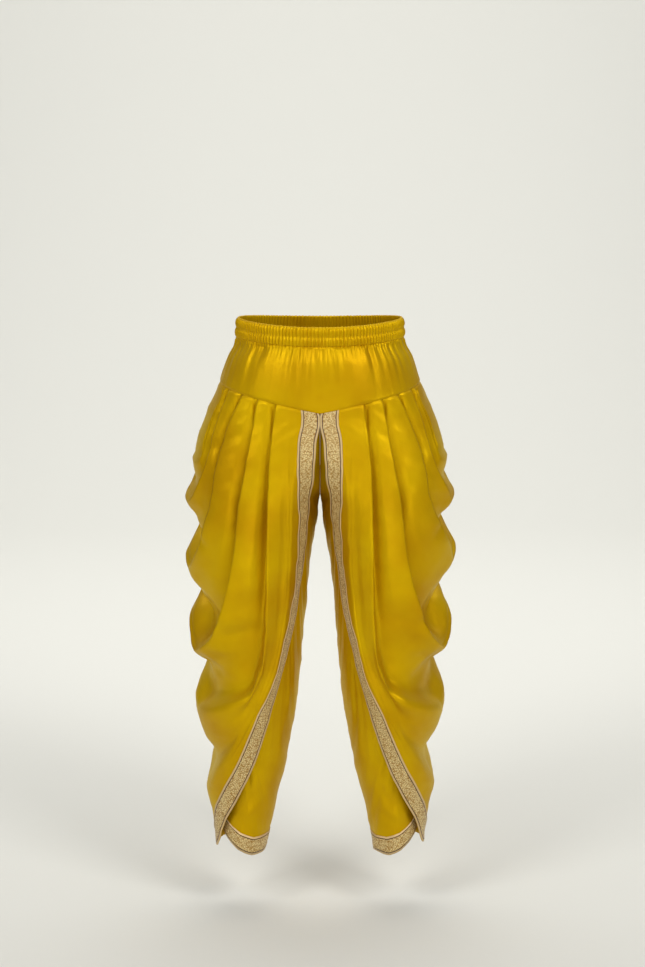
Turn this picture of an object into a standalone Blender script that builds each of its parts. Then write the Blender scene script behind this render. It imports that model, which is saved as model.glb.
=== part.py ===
"""Draped dhoti trousers in satin, as worn: a shirred waistband, a hip yoke, a pleated and swagged panel
round the outside of each leg, a plain panel round the inside of each leg, and woven metallic borders.
Metres, +Z up. The wearer faces -Y and their left is +X. The origin is the middle of the waist opening,
level with the top edge of the waistband. Tables are in millimetres."""

from collections import namedtuple

import bpy
import numpy as np

MM = 0.001

# Cloth and seams
CLOTH_THICK = 1.2 * MM
BORDER_THICK = 1.0 * MM
SEAM_GAP = 0.3 * MM
CHORD_ALLOWANCE = 0.4 * MM

# Waistband
BAND_HEIGHT = 32 * MM
BAND_THICK = 3.0 * MM
BAND_SIDE_RISE = 8 * MM
BAND_GATHERS = 144
BAND_INNER_STEPS = 48
GATHER_HEIGHT = 1.3 * MM
CHANNEL_SWELL = 2.0 * MM

# Yoke: its lower seam dips towards the centre front and, less, towards the centre back
YOKE_SIDE_DROP = 104 * MM
YOKE_FRONT_DIP = 41 * MM
YOKE_BACK_DIP = 20 * MM
YOKE_DIP_POWER = 1.47
YOKE_GATHERS = 24
YOKE_GATHER_DEPTH = 1.6 * MM
YOKE_COLUMNS = 48
YOKE_ROWS = 5

# Leg panels
BACK_SEAM_DEG = 225.0
BACK_TIP_DEG = 100.0
SWAG_FLARE = 4 * MM
FRONT_COLUMNS = 17
BACK_COLUMNS = 15
TIP_CROWDING = 1.35
BORDER_WIDTH = 32 * MM
UNDERLAP = 14 * MM
HEM_RISE = 52 * MM
HEM_SIDE_DEG = 80.0
UNDER_FRONT_COLUMNS = 5
UNDER_SIDE_COLUMNS = 12
CENTRE_PLACE = 0.3
LEVEL_Z = -345 * MM
HEM_SHAPED_Z = -700 * MM
UNDER_ROW_HEIGHT = 45 * MM
CROTCH_ROW_HEIGHT = 18 * MM

Hull = namedtuple("Hull", "z outer middle inner front back")
# The outside of the draped cloth at each height: reach in X of its outer side, of its middle and of its
# inner side, and reach in Y of its front and back.
HULL = [
    Hull(12, 145, 0, -145, 99, 99),
    Hull(0, 146, 0, -146, 100, 100),
    Hull(-32, 149, 0, -149, 103, 104),
    Hull(-60, 163, 0, -163, 113, 117),
    Hull(-104, 178, 0, -178, 121, 128),
    Hull(-145, 194, 0, -185, 125, 131),
    Hull(-200, 211, 22, -112, 131, 139),
    Hull(-250, 225, 48, -54, 135, 143),
    Hull(-308, 235, 78, -8, 137, 142),
    Hull(-370, 237, 97, 2, 137, 137),
    Hull(-430, 235, 107, 12, 136, 132),
    Hull(-500, 231, 115, 19, 132, 126),
    Hull(-560, 228, 120, 24, 127, 121),
    Hull(-620, 225, 124, 29, 120, 115),
    Hull(-690, 220, 129, 37, 109, 107),
    Hull(-750, 213, 133, 46, 98, 99),
    Hull(-800, 207, 136, 56, 89, 92),
    Hull(-850, 202, 139, 67, 80, 84),
    Hull(-900, 196, 141, 79, 72, 76),
    Hull(-965, 188, 143, 92, 65, 67),
]

Leg = namedtuple("Leg", "z inner outer front back")
# The plain leg under the drape: above the crotch its inner side is past the centre, so the legs meet.
LEG = [
    Leg(-104, -178, 178, 117.5, 128),
    Leg(-145, -185, 188, 121, 131),
    Leg(-200, -112, 190, 120, 137),
    Leg(-250, -52, 190, 116, 134),
    Leg(-280, -24, 188, 112, 126),
    Leg(-308, 0, 186, 109, 118),
    Leg(-357, 6, 182, 105, 106),
    Leg(-416, 16, 180, 101, 95),
    Leg(-504, 25, 178, 96, 84),
    Leg(-578, 31.5, 176, 90, 78),
    Leg(-653, 38, 175, 83, 77),
    Leg(-713, 46.5, 175, 77, 76),
    Leg(-773, 56.5, 176, 71, 73),
    Leg(-818, 65.5, 177, 67, 69),
    Leg(-864, 77, 178, 62, 64),
    Leg(-925, 91, 181, 57, 58),
    Leg(-975, 101, 183, 55, 56),
]

# Shares of a fold's drop at which its table gives the fold's distance from the centre line
STATIONS = (0.2, 0.4, 0.6, 0.8, 0.92)
BACK_DEPTH = 0.6
# How far towards its tip a fold line has come at the same places on the back of the leg
BACK_SWEEP = (0.2, 0.38, 0.55, 0.75, 0.9)

Fold = namedtuple(
    "Fold",
    "name seam x20 x40 x60 x80 x92 spread tip_deg tip_right tip_left rise "
    "seam_out mid_out tip_out back_x back_z rows",
)
# The lines that a leg's draped panel hangs in, from the hip to the bordered edge. Each leaves the front of
# the yoke at seam, passes x20 to x92 (the last two further out by spread on the left leg), turns at the side
# at tip_deg, goes round it while it rises by rise, and ends at the back: at back_x on the yoke, or, where
# that is None, at back_z on the back seam. seam_out, mid_out and tip_out set it off the hull, and rows is
# the number of mesh rows to the next line.
FOLDS = [
    Fold("hip", 170, 172, 174, 176, 177, 178, 0, 80, -104, -104, 0, 0, 0, 0, 170, None, 1),
    Fold("fall", 168, 173, 178, 184, 189, 192, 0, 80, -165, -160, 8, 0, 0, 0, 168, None, 1),
    Fold("ridge_1", 165, 176, 187, 196, 204, 209, 0, 80, -246, -240, 10, 0, 1, 1, 165, None, 1),
    Fold("valley_2", 161, 172, 182, 191, 204, 215, 0, 80, -288, -280, 10, -2, -8, -12, 161, None, 1),
    Fold("ridge_2", 158, 173, 185, 196, 212, 224, 2, 80, -318, -312, 12, 0, 2, 3, 158, None, 1),
    Fold("belly_2", 147, 166, 181, 193, 210, 220, 4, 80, -350, -342, 14, 0, -1, -18, 147, None, 2),
    Fold("valley_3", 138, 158, 174, 184, 198, 213, 7, 80, -398, -380, 18, -3, -15, -32, 138, None, 2),
    Fold("ridge_3", 134, 161, 180, 191, 208, 222, 8, 80, -438, -420, 20, 0, 3, 3, 134, None, 1),
    Fold("belly_3", 121, 140, 155, 167, 184, 202, 6, 76, -476, -462, 28, 0, -1, -17, 121, None, 2),
    Fold("valley_4", 110, 121, 134, 144, 163, 181, 4, 72, -538, -530, 46, -3, -18, -37, 110, None, 2),
    Fold("ridge_4", 107, 123, 140, 151, 171, 190, 3, 70, -584, -578, 48, 0, 3, 4, 107, None, 1),
    Fold("belly_4", 92, 104, 113, 122, 142, 169, 1, 72, -612, -606, 40, 0, -1, -23, 90, None, 2),
    Fold("valley_5", 79, 87, 89, 91, 98, 114, 0, 76, -662, -656, 30, -3, -15, -27, 70, None, 1),
    Fold("ridge_5", 75, 88, 92, 94, 100, 124, 0, 76, -696, -690, 20, 0, 3, 3, 60, None, 1),
    Fold("strip", 58, 68, 73, 80, 103, 144, 0, 80, -742, -734, 12, 0, 1, -3, 0, None, 2),
    Fold("valley_6", 47, 58, 64, 74, 109, 159, 0, 80, -784, -774, 0, 0, -1, -20, None, -272, 1),
    Fold("ridge_6", 40, 51, 57, 73, 126, 175, 0, 80, -846, -836, 0, 0, 1, 4, None, -560, 2),
    Fold("border_top", 33, 45, 52, 75, 142, 184, 0, 80, -902, -893, 0, 0, 2, 0, None, -930, 2),
    Fold("edge", 2, 14, 29, 67, 120, 172, 0, 80, -958, -952, 0, 0, -8, 0, None, -965, 0),
]

LegSide = namedtuple("LegSide", "name sign tip spread")
LEG_SIDES = [LegSide("left", 1, "tip_left", 1), LegSide("right", -1, "tip_right", 0)]

Finish = namedtuple("Finish", "color roughness metallic")
FINISHES = {
    "satin": Finish((0.62, 0.42, 0.0, 1.0), 0.35, 0.0),
    "metallic_border": Finish((0.50, 0.36, 0.14, 1.0), 0.5, 0.3),
}


def curve_through(xs, ys, at):
    """A smooth curve through the points that never overshoots them, read at the given places."""
    xs, ys = np.asarray(xs, float), np.asarray(ys, float)
    step, rise = np.diff(xs), np.diff(ys)
    slope = rise / step
    inner = np.zeros(len(xs) - 2)
    turns = slope[:-1] * slope[1:] > 0
    near, far = 2 * step[1:] + step[:-1], step[1:] + 2 * step[:-1]
    total = near[turns] / slope[:-1][turns] + far[turns] / slope[1:][turns]
    inner[turns] = (near + far)[turns] / total
    tangent = np.concatenate([[slope[0]], inner, [slope[-1]]])
    at = np.clip(np.asarray(at, float), xs[0], xs[-1])
    i = np.clip(np.searchsorted(xs, at, side="right") - 1, 0, len(step) - 1)
    t, h = (at - xs[i]) / step[i], step[i]
    return (
        ys[i] * (1 + 2 * t) * (1 - t) ** 2
        + tangent[i] * h * t * (1 - t) ** 2
        + ys[i + 1] * t * t * (3 - 2 * t)
        + tangent[i + 1] * h * t * t * (t - 1)
    )


def column(table, name, z):
    """One column of a table of heights, in metres, read smoothly at height z."""
    rows = table[::-1]
    heights = [row.z * MM for row in rows]
    return curve_through(heights, [getattr(row, name) * MM for row in rows], z)


def ease(t):
    t = np.clip(t, 0, 1)
    return t * t * (3 - 2 * t)


def oval(middle, outer, inner, front, back, deg, out):
    """Points of an oval section, 0 degrees at the front and 90 at the outer side, moved out by out."""
    s, c = np.sin(np.radians(deg)), np.cos(np.radians(deg))
    across = np.where(s >= 0, outer - middle, middle - inner)
    along = np.where(c >= 0, front, back)
    facing = np.stack([along * s, -across * c], -1)
    facing /= np.linalg.norm(facing, axis=-1, keepdims=True)
    return middle + across * s + out * facing[..., 0], -along * c + out * facing[..., 1]


def hull_point(deg, z, out=0.0):
    parts = [column(HULL, name, z) for name in ("middle", "outer", "inner", "front", "back")]
    x, y = oval(*parts, deg, out)
    return np.stack(np.broadcast_arrays(x, y, z), -1)


def leg_point(deg, z, out=0.0):
    inner, outer = column(LEG, "inner", z), column(LEG, "outer", z)
    parts = [(inner + outer) / 2, outer, inner, column(LEG, "front", z), column(LEG, "back", z)]
    x, y = oval(*parts, deg, out)
    return np.stack(np.broadcast_arrays(x, y, z), -1)


def drape_point(deg, z, out=0.0):
    """A point of the draped panel, which closes in on the plain leg towards its back seam."""
    closing = ease((deg - 130) / (BACK_SEAM_DEG - 130))[..., None]
    point = hull_point(deg, z, out) * (1 - closing) + leg_point(deg, z, out) * closing
    point[..., 0] = np.maximum(point[..., 0], SEAM_GAP / 2)
    return point


def yoke_seam_z(deg):
    """Height of the yoke's lower seam, all round: 0 degrees is the centre front, 180 the centre back."""
    folded = np.abs((np.asarray(deg, float) + 180) % 360 - 180)
    front = np.clip(1 - folded / 90, 0, 1) ** YOKE_DIP_POWER
    back = np.clip(folded / 90 - 1, 0, 1) ** YOKE_DIP_POWER
    return -YOKE_SIDE_DROP - YOKE_FRONT_DIP * front - YOKE_BACK_DIP * back


def centre_deg(z):
    """How far round from its front the plain leg, at height z, reaches the middle of the body."""
    inner, outer = column(LEG, "inner", z), column(LEG, "outer", z)
    return np.degrees(np.arcsin(np.clip((inner + outer) / (outer - inner), 0, 1)))


def crotch_z(deg):
    """Height at which the plain leg, at this angle, reaches the middle of the body."""
    heights = np.linspace(-0.3079, -0.1455, 400)
    from_side = 90 - np.abs(np.abs(deg) - 90)
    return np.interp(-from_side, -centre_deg(heights), heights)


def seam_deg(x, back=False):
    """The angle at which the yoke seam is x away from the centre line."""
    steps = np.linspace(0, 90, 181)
    angles = 180 - steps if back else steps
    reach = hull_point(angles, yoke_seam_z(angles))[..., 0]
    return float(np.interp(x, reach, angles))


def hull_deg(x, z):
    """The angle, on the front, at which the hull at height z is x away from the centre line."""
    middle, outer, inner = (column(HULL, name, z) for name in ("middle", "outer", "inner"))
    share = np.where(x >= middle, (x - middle) / (outer - middle), (x - middle) / (middle - inner))
    return np.degrees(np.arcsin(np.clip(share, -0.98, 0.985)))


def chord_length(points):
    return np.concatenate([[0], np.cumsum(np.linalg.norm(np.diff(points, axis=0), axis=1))])


def down_a_side(fold, reach, seam_z, tip):
    """Places down a fold line's straighter part: height, distance from the centre, distance off the hull."""
    shares = np.linspace(0, STATIONS[-1], 18)
    x = curve_through((0, *STATIONS), np.array(reach) * MM, shares)
    late = 0.85 if fold.back_x is None else 0.5
    out = np.array([fold.seam_out, fold.mid_out, fold.mid_out + 0.01, fold.tip_out]) * MM
    out = curve_through((0, 0.5, late + 0.01, 1), out, shares)
    return seam_z + (tip - seam_z) * shares, x, out


def fold_line(fold, side, columns):
    """Points of one fold line, from the front seam round the side to the back seam."""
    front_shares = 1 - (1 - np.linspace(0, 1, columns[0])) ** TIP_CROWDING
    back_shares = np.linspace(0, 1, columns[1])[1:] ** TIP_CROWDING
    below = SEAM_GAP + CHORD_ALLOWANCE
    start = seam_deg(fold.seam * MM)
    if fold.name == "hip":
        end = seam_deg(fold.back_x * MM, back=True)
        turn = np.concatenate([start + (90 - start) * front_shares, 90 + (end - 90) * back_shares])
        return drape_point(turn, yoke_seam_z(turn) - below)

    tip, tip_out = getattr(fold, side.tip) * MM, fold.tip_out * MM
    spread = fold.spread * side.spread
    reach = [fold.seam, fold.x20, fold.x40, fold.x60, fold.x80 + spread, fold.x92 + spread]
    z, x, out = down_a_side(fold, reach, float(yoke_seam_z(start)) - below, tip)
    deg = np.minimum(hull_deg(x[1:], z[1:]), fold.tip_deg - 1)
    deg = np.concatenate([[start], deg, [fold.tip_deg]])
    z, out = np.append(z, tip), np.append(out, tip_out)
    turned = len(deg) - 1
    if fold.back_x is not None:
        end = seam_deg(fold.back_x * MM, back=True)
        back_tip = tip + fold.rise * MM
        side_x = float(column(HULL, "outer", back_tip)) / MM
        reach = [fold.back_x] + [fold.back_x + (side_x - fold.back_x) * share for share in BACK_SWEEP]
        shallower = fold._replace(mid_out=fold.mid_out * BACK_DEPTH)
        back_z, back_x, back_out = down_a_side(shallower, reach, float(yoke_seam_z(end)) - below, back_tip)
        back_deg = np.maximum(180 - hull_deg(back_x[1:], back_z[1:]), BACK_TIP_DEG + 1)
        back_deg = np.append(end, back_deg)
        deg = np.concatenate([deg, [BACK_TIP_DEG], back_deg[::-1]])
        z = np.concatenate([z, [back_tip], back_z[::-1]])
        out = np.concatenate([out, [tip_out + SWAG_FLARE], back_out[::-1]])
    else:
        share = np.linspace(0, 1, 8)[1:]
        deg = np.concatenate([deg, fold.tip_deg + (BACK_SEAM_DEG - fold.tip_deg) * share])
        z = np.concatenate([z, tip + (fold.back_z * MM - tip) * share**2])
        out = np.concatenate([out, tip_out * (1 - ease(share))])

    knots = chord_length(drape_point(deg, z, out))
    fine = np.linspace(0, knots[turned], 161)
    fine = np.concatenate([fine, np.linspace(knots[turned], knots[-1], 161)[1:]])
    deg, z, out = (curve_through(knots, values, fine) for values in (deg, z, out))
    length = chord_length(drape_point(deg, z, out))
    side_place = length[160]
    back_places = side_place + (length[-1] - side_place) * back_shares
    places = np.concatenate([side_place * front_shares, back_places])
    return drape_point(*(np.interp(places, length, values) for values in (deg, z, out)))


def between(before, start, end, after, share):
    """A point between start and end on a centripetal spline through four points, row by row."""
    knots = [np.zeros(len(start))]
    for a, b in ((before, start), (start, end), (end, after)):
        knots.append(knots[-1] + np.maximum(np.linalg.norm(b - a, axis=1), 1e-6) ** 0.5)
    t = knots[1] + (knots[2] - knots[1]) * share

    def mix(p, q, i, j):
        share_q = ((t - knots[i]) / (knots[j] - knots[i]))[:, None]
        return p * (1 - share_q) + q * share_q

    first = mix(mix(before, start, 0, 1), mix(start, end, 1, 2), 0, 2)
    second = mix(mix(start, end, 1, 2), mix(end, after, 2, 3), 1, 3)
    return mix(first, second, 1, 2)


def finer(line, count):
    """The same line as that many points, evenly apart."""
    length = chord_length(line)
    places = np.linspace(0, length[-1], count)
    return np.stack([np.interp(places, length, line[:, k]) for k in range(3)], axis=1)


def even_border(grid, first):
    """Sets a panel's last rows, from the one numbered first, so that they span no more than the border's
    width, which is measured square to the edge."""
    steps = len(grid) - 1 - first
    edge = finer(grid[-1], 900)
    for c in range(grid.shape[1]):
        up = finer(grid[::-1, c][: 4 * steps], 120)
        away = np.linalg.norm(up[:, None] - edge, axis=2).min(axis=1)
        away = np.maximum.accumulate(away) + np.linspace(0, 1e-9, len(away))
        width = min(BORDER_WIDTH, np.linalg.norm(grid[first, c] - edge, axis=1).min())
        for step in range(1, steps + 1):
            place = width * step / steps
            grid[-1 - step, c] = [np.interp(place, away, up[:, k]) for k in range(3)]


def drape_grid(side):
    """Points of a leg's draped panel: a row for each step from the hip to the edge. Also the rows' names."""
    columns = (FRONT_COLUMNS, BACK_COLUMNS)
    lines = [fold_line(fold, side, columns) for fold in FOLDS]
    lines = [2 * lines[0] - lines[1], *lines, 2 * lines[-1] - lines[-2]]
    grid, starts = [], {}
    for i, fold in enumerate(FOLDS):
        starts[fold.name] = len(grid)
        grid.append(lines[i + 1])
        for step in range(1, fold.rows):
            grid.append(between(*lines[i : i + 4], step / fold.rows))
    grid = np.array(grid)
    even_border(grid, starts["border_top"])
    below = SEAM_GAP + CHORD_ALLOWANCE
    closed = starts["valley_6"]
    for row in range(len(grid)):
        grid[row, 0, 2] = yoke_seam_z(seam_deg(grid[row, 0, 0])) - below
        end = grid[row, -1]
        if row <= starts["strip"]:
            end[2] = yoke_seam_z(seam_deg(end[0], back=True)) - below
        elif row < closed:
            end[:] = leg_point(180 + centre_deg(end[2]), end[2])
        else:
            end[:] = leg_point(BACK_SEAM_DEG, end[2])
    grid[..., 0] = np.maximum(grid[..., 0], SEAM_GAP / 2)
    return grid, starts


def under_edge_deg(z):
    """The angle of the plain panel's free front edge, which lies under the border."""
    border = FOLDS[[fold.name for fold in FOLDS].index("border_top")]
    top = float(yoke_seam_z(seam_deg(border.seam * MM)))
    shares = (0, *STATIONS, 1)
    reach = [getattr(border, f"x{share * 100:.0f}") for share in STATIONS]
    reach = np.array([border.seam, *reach, reach[-1]]) * MM + UNDERLAP
    heights = top + (border.tip_right * MM - top) * np.array(shares)
    x = curve_through(heights[::-1], reach[::-1], z)
    inner, outer = column(LEG, "inner", z), column(LEG, "outer", z)
    share = (x - (inner + outer) / 2) / ((outer - inner) / 2)
    return np.degrees(np.arcsin(np.clip(share, -0.9, 0.97)))


def under_hem_z(deg, bottom):
    """The plain panel's hem: lowest at the inner front, and rising under the drape to the outer side."""
    return bottom + HEM_RISE * np.clip((deg + 30) / 110, 0, 1) ** 1.15


def refine(line):
    """The same line with more points: closer together in its first stretch, which is at the crotch."""
    points = []
    for i, (start, end) in enumerate(zip(line[:-1], line[1:])):
        height = UNDER_ROW_HEIGHT if i else CROTCH_ROW_HEIGHT
        steps = int(np.ceil(np.linalg.norm(end - start) / height))
        points += [start + (end - start) * step / steps for step in range(steps)]
    return np.array(points + [line[-1]])


def under_deg(place, top_share, z):
    """The angle, at height z, of a line down the plain panel. Its place is 0 at the free edge, CENTRE_PLACE
    where it starts at the centre front and 1 at the back seam. It leaves the straight way down from its
    start as top_share falls from 1, to share the leg's front evenly with the other lines."""
    edge = under_edge_deg(z)
    back = BACK_SEAM_DEG - 360
    along = (place - CENTRE_PLACE) / (1 - CENTRE_PLACE)
    start = back * along if along > 0 else edge * (1 - place / CENTRE_PLACE)
    crotch_place = CENTRE_PLACE + 90 / -back * (1 - CENTRE_PLACE)
    even = edge - (edge + 90) * place / crotch_place if place < crotch_place else start
    return start * top_share + even * (1 - top_share)


def under_grid(seam):
    """A leg's plain panel, from its back seam, which is given, round the inside to its free edge: its
    points, and the way that each of them faces."""
    back = BACK_SEAM_DEG - 360
    top, bottom = seam[0, 2], seam[-1, 2]
    top_share = 1 - np.clip((top - seam[:, 2]) / (top - LEVEL_Z), 0, 1)
    low_share = np.clip((HEM_SHAPED_Z - seam[:, 2]) / (HEM_SHAPED_Z - bottom), 0, 1)
    top_front = seam_deg(fold_seam("border_top") + UNDERLAP)
    front_places = np.linspace(0, CENTRE_PLACE, UNDER_FRONT_COLUMNS)
    side_places = np.linspace(CENTRE_PLACE, 1, UNDER_SIDE_COLUMNS)[1:-1]
    columns = [(np.full_like(top_share, back), seam[:, 2])]
    for place in [*front_places, *side_places][::-1]:
        to_edge = 1 - place / CENTRE_PLACE
        along = (place - CENTRE_PLACE) / (1 - CENTRE_PLACE)
        if along > 0:
            start, end = float(crotch_z(back * along)), under_hem_z(back * along, bottom)
        else:
            start = float(yoke_seam_z(top_front * to_edge)) - SEAM_GAP - CHORD_ALLOWANCE
            end = under_hem_z(HEM_SIDE_DEG * to_edge, bottom)
        z = seam[:, 2] + (start - top) * top_share + (end - bottom) * low_share
        columns.append((under_deg(place, top_share, z), z))
    deg, z = (np.stack(values, axis=1) for values in zip(*columns))
    grid, facing = leg_point(deg, z), (leg_point(deg, z, MM) - leg_point(deg, z)) / MM
    aside = leg_point(back, seam[:, 2]) - leg_point(back - 1, seam[:, 2])
    aside /= np.linalg.norm(aside, axis=1, keepdims=True)
    grid[:, 0] = seam + aside * SEAM_GAP
    grid[..., 0] = np.maximum(grid[..., 0], SEAM_GAP / 2)
    return grid, facing


def fold_seam(name):
    return FOLDS[[fold.name for fold in FOLDS].index(name)].seam * MM


def yoke_grid(start, end):
    """Points of a yoke panel between two angles: soft gathers under the waistband die out on the way down."""
    grid = np.zeros((YOKE_ROWS, YOKE_COLUMNS + 1, 3))
    turn = np.linspace(start, end, YOKE_COLUMNS + 1)
    top = band_rise(turn) - BAND_HEIGHT - SEAM_GAP
    for row in range(YOKE_ROWS):
        share = row / (YOKE_ROWS - 1)
        z = top + (yoke_seam_z(turn) - top) * share
        uneven = 0.7 + 0.3 * np.cos(np.radians(turn * 7))
        fading = (1 - share) ** 1.5 * np.abs(np.cos(np.radians(turn))) ** 0.5
        wave = np.cos(np.radians(turn * YOKE_GATHERS)) * uneven * fading
        grid[row] = around(turn, z, YOKE_GATHER_DEPTH * wave)
    return grid


def band_rise(turn):
    """The waist is a little higher at the sides than at the front and back."""
    return BAND_SIDE_RISE * np.sin(np.radians(turn)) ** 2


def around(turn, z, out):
    """Points of the hips all round: 0 degrees is the centre front and 90 the wearer's left."""
    point = hull_point(np.abs(turn), z, out)
    point[..., 0] *= np.where(np.asarray(turn) < 0, -1, 1)
    return point


def grid_normals(grid, smoothing=0):
    along = np.gradient(grid, axis=1)
    down = np.gradient(grid, axis=0)
    facing = np.cross(down, along)
    facing /= np.maximum(np.linalg.norm(facing, axis=-1, keepdims=True), 1e-12)
    facing[0, 0], facing[0, -1] = facing[1, 1], facing[1, -2]
    for _ in range(smoothing):
        wide = np.pad(facing, ((1, 1), (1, 1), (0, 0)), mode="edge")
        facing = wide[:-2, 1:-1] + wide[2:, 1:-1] + wide[1:-1, :-2] + wide[1:-1, 2:] + 2 * facing
        facing /= np.linalg.norm(facing, axis=-1, keepdims=True)
    return facing


def wall_faces(rows, columns):
    """Faces of a closed wall: an outer grid, an inner grid after it, and the four edges between them."""
    outer = np.arange(rows * columns).reshape(rows, columns)
    faces = []
    for r in range(rows - 1):
        for c in range(columns - 1):
            corners = [outer[r, c], outer[r + 1, c], outer[r + 1, c + 1], outer[r, c + 1]]
            if c > columns // 2:
                corners = corners[1:] + corners[:1]
            faces += [tuple(corners[:3]), (corners[0], *corners[2:])]
    faces += [tuple(v + rows * columns for v in face[::-1]) for face in faces]
    rim = [*outer[0, :-1], *outer[:-1, -1], *outer[-1, :0:-1], *outer[:0:-1, 0]]
    for v, following in zip(rim, rim[1:] + rim[:1]):
        faces.append((v, following, following + rows * columns, v + rows * columns))
    return [tuple(int(v) for v in face) for face in faces]


def add_object(name, points, faces, finish):
    mesh = bpy.data.meshes.new(name)
    mesh.from_pydata([tuple(p) for p in points], [], faces)
    mesh.materials.append(bpy.data.materials[finish])
    mesh.shade_smooth()
    mesh.set_sharp_from_angle(angle=np.radians(50))
    obj = bpy.data.objects.new(name, mesh)
    bpy.context.scene.collection.objects.link(obj)
    return obj


def add_wall(name, grid, facing, sign, thick, finish, lift=0.0):
    """A sheet of cloth: its inner face is the grid raised by lift along facing, or, with no lift, the grid
    is its outer face. A sign of -1 makes the other leg's piece."""
    outer = grid + facing * (lift + thick if lift else 0)
    points = np.concatenate([outer.reshape(-1, 3), (outer - facing * thick).reshape(-1, 3)])
    if not name.startswith("yoke"):
        points[:, 0] = np.maximum(points[:, 0], SEAM_GAP / 2) * sign
    faces = wall_faces(*grid.shape[:2])
    if sign < 0:
        faces = [face[::-1] for face in faces]
    return add_object(name, points, faces, finish)


def band_profile(share):
    """How far the waistband's two elastic channels swell, from 0 at its top to 1 at its bottom."""
    return CHANNEL_SWELL * np.abs(np.sin(2 * np.pi * share)) ** 0.6


def add_waistband():
    """A shirred tube of cloth over elastic: its outer points are gathered and its inside is plain."""
    columns = 2 * BAND_GATHERS
    turn = np.linspace(-180, 180, columns, endpoint=False)
    wave = np.where(np.arange(columns) % 2 == 0, 1.0, -1.0)
    points = []
    for share in (0.0, 0.25, 0.5, 0.75, 1.0):
        swell = band_profile(share)
        depth = 0.5 if share in (0.0, 0.5, 1.0) else 1.0
        height = band_rise(turn) - BAND_HEIGHT * share
        points.append(around(turn, height, swell + GATHER_HEIGHT * depth * wave / 2))
    inner_turn = np.linspace(-180, 180, BAND_INNER_STEPS, endpoint=False)
    for share in (1.0, 0.5, 0.0):
        points.append(around(inner_turn, band_rise(inner_turn) - BAND_HEIGHT * share, -BAND_THICK))
    starts = np.concatenate([[0], np.cumsum([len(ring) for ring in points])])
    faces = []
    for k in range(len(points)):
        following = (k + 1) % len(points)
        faces += ring_faces(len(points[k]), starts[k], len(points[following]), starts[following])
    return add_object("waistband", np.concatenate(points), faces, "satin")


def ring_faces(count_a, start_a, count_b, start_b):
    """Faces between two closed rings, whose counts are equal or one a multiple of the other."""
    faces = []
    if count_a >= count_b:
        ratio = count_a // count_b
        for i in range(count_a):
            a, a_next = start_a + i, start_a + (i + 1) % count_a
            b, b_next = start_b + i // ratio, start_b + ((i + 1) // ratio) % count_b
            faces.append((a, b, b_next, a_next) if b != b_next else (a, b, a_next))
    else:
        ratio = count_b // count_a
        for i in range(count_b):
            b, b_next = start_b + i, start_b + (i + 1) % count_b
            a, a_next = start_a + i // ratio, start_a + ((i + 1) // ratio) % count_a
            faces.append((a, b, b_next, a_next) if a != a_next else (a, b, b_next))
    return [tuple(int(v) for v in face) for face in faces]


def clear_scene():
    for obj in list(bpy.data.objects):
        bpy.data.objects.remove(obj, do_unlink=True)


def add_materials():
    for name, finish in FINISHES.items():
        material = bpy.data.materials.new(name)
        material.use_nodes = True
        shader = material.node_tree.nodes["Principled BSDF"]
        shader.inputs["Base Color"].default_value = finish.color
        shader.inputs["Roughness"].default_value = finish.roughness
        shader.inputs["Metallic"].default_value = finish.metallic


def main():
    clear_scene()
    add_materials()
    add_waistband()
    side_gap = np.degrees(SEAM_GAP / 2 / (HULL[2].front * MM))
    for name, middle in (("yoke_front", 0), ("yoke_back", 180)):
        yoke = yoke_grid(middle - 90 + side_gap, middle + 90 - side_gap)
        add_wall(name, yoke, grid_normals(yoke), 1, CLOTH_THICK, "satin")
    for side in LEG_SIDES:
        drape, starts = drape_grid(side)
        drape_facing = grid_normals(drape, smoothing=2)
        seam = refine(drape[starts["valley_6"] :, -1])
        under, under_facing = under_grid(seam)
        on_drape = [int(np.argmin(np.linalg.norm(seam - p, axis=1))) for p in drape[starts["valley_6"] :, -1]]
        drape_facing[starts["valley_6"] :, -1] = under_facing[on_drape, 0]
        hem_row = on_drape[starts["border_top"] - starts["valley_6"]]
        panels = (("drape", "edge_border", drape, drape_facing, starts["border_top"]),)
        panels += (("under", "hem_border", under, under_facing, hem_row),)
        for panel, border, grid, facing, row in panels:
            add_wall(f"{panel}_{side.name}", grid, facing, side.sign, CLOTH_THICK, "satin")
            strip = (grid[row:], facing[row:], side.sign, BORDER_THICK, "metallic_border", SEAM_GAP)
            add_wall(f"{border}_{side.name}", *strip)


if __name__ == "__main__":
    main()
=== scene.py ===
"""The looks of a pair of draped dhoti trousers in satin, laid out as an add-on and run as a script.
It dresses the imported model: each sewn piece becomes a fine sheet of cloth on the form of its solid, with
pleats, creases, seams, woven borders and stitching. Metres, +Z up. The front faces -Y, and the left leg is
at +X. The origin is the middle of the waist opening. Tables are in millimetres."""

import math
from collections import namedtuple

import bpy
import numpy as np
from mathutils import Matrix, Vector, noise


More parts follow.
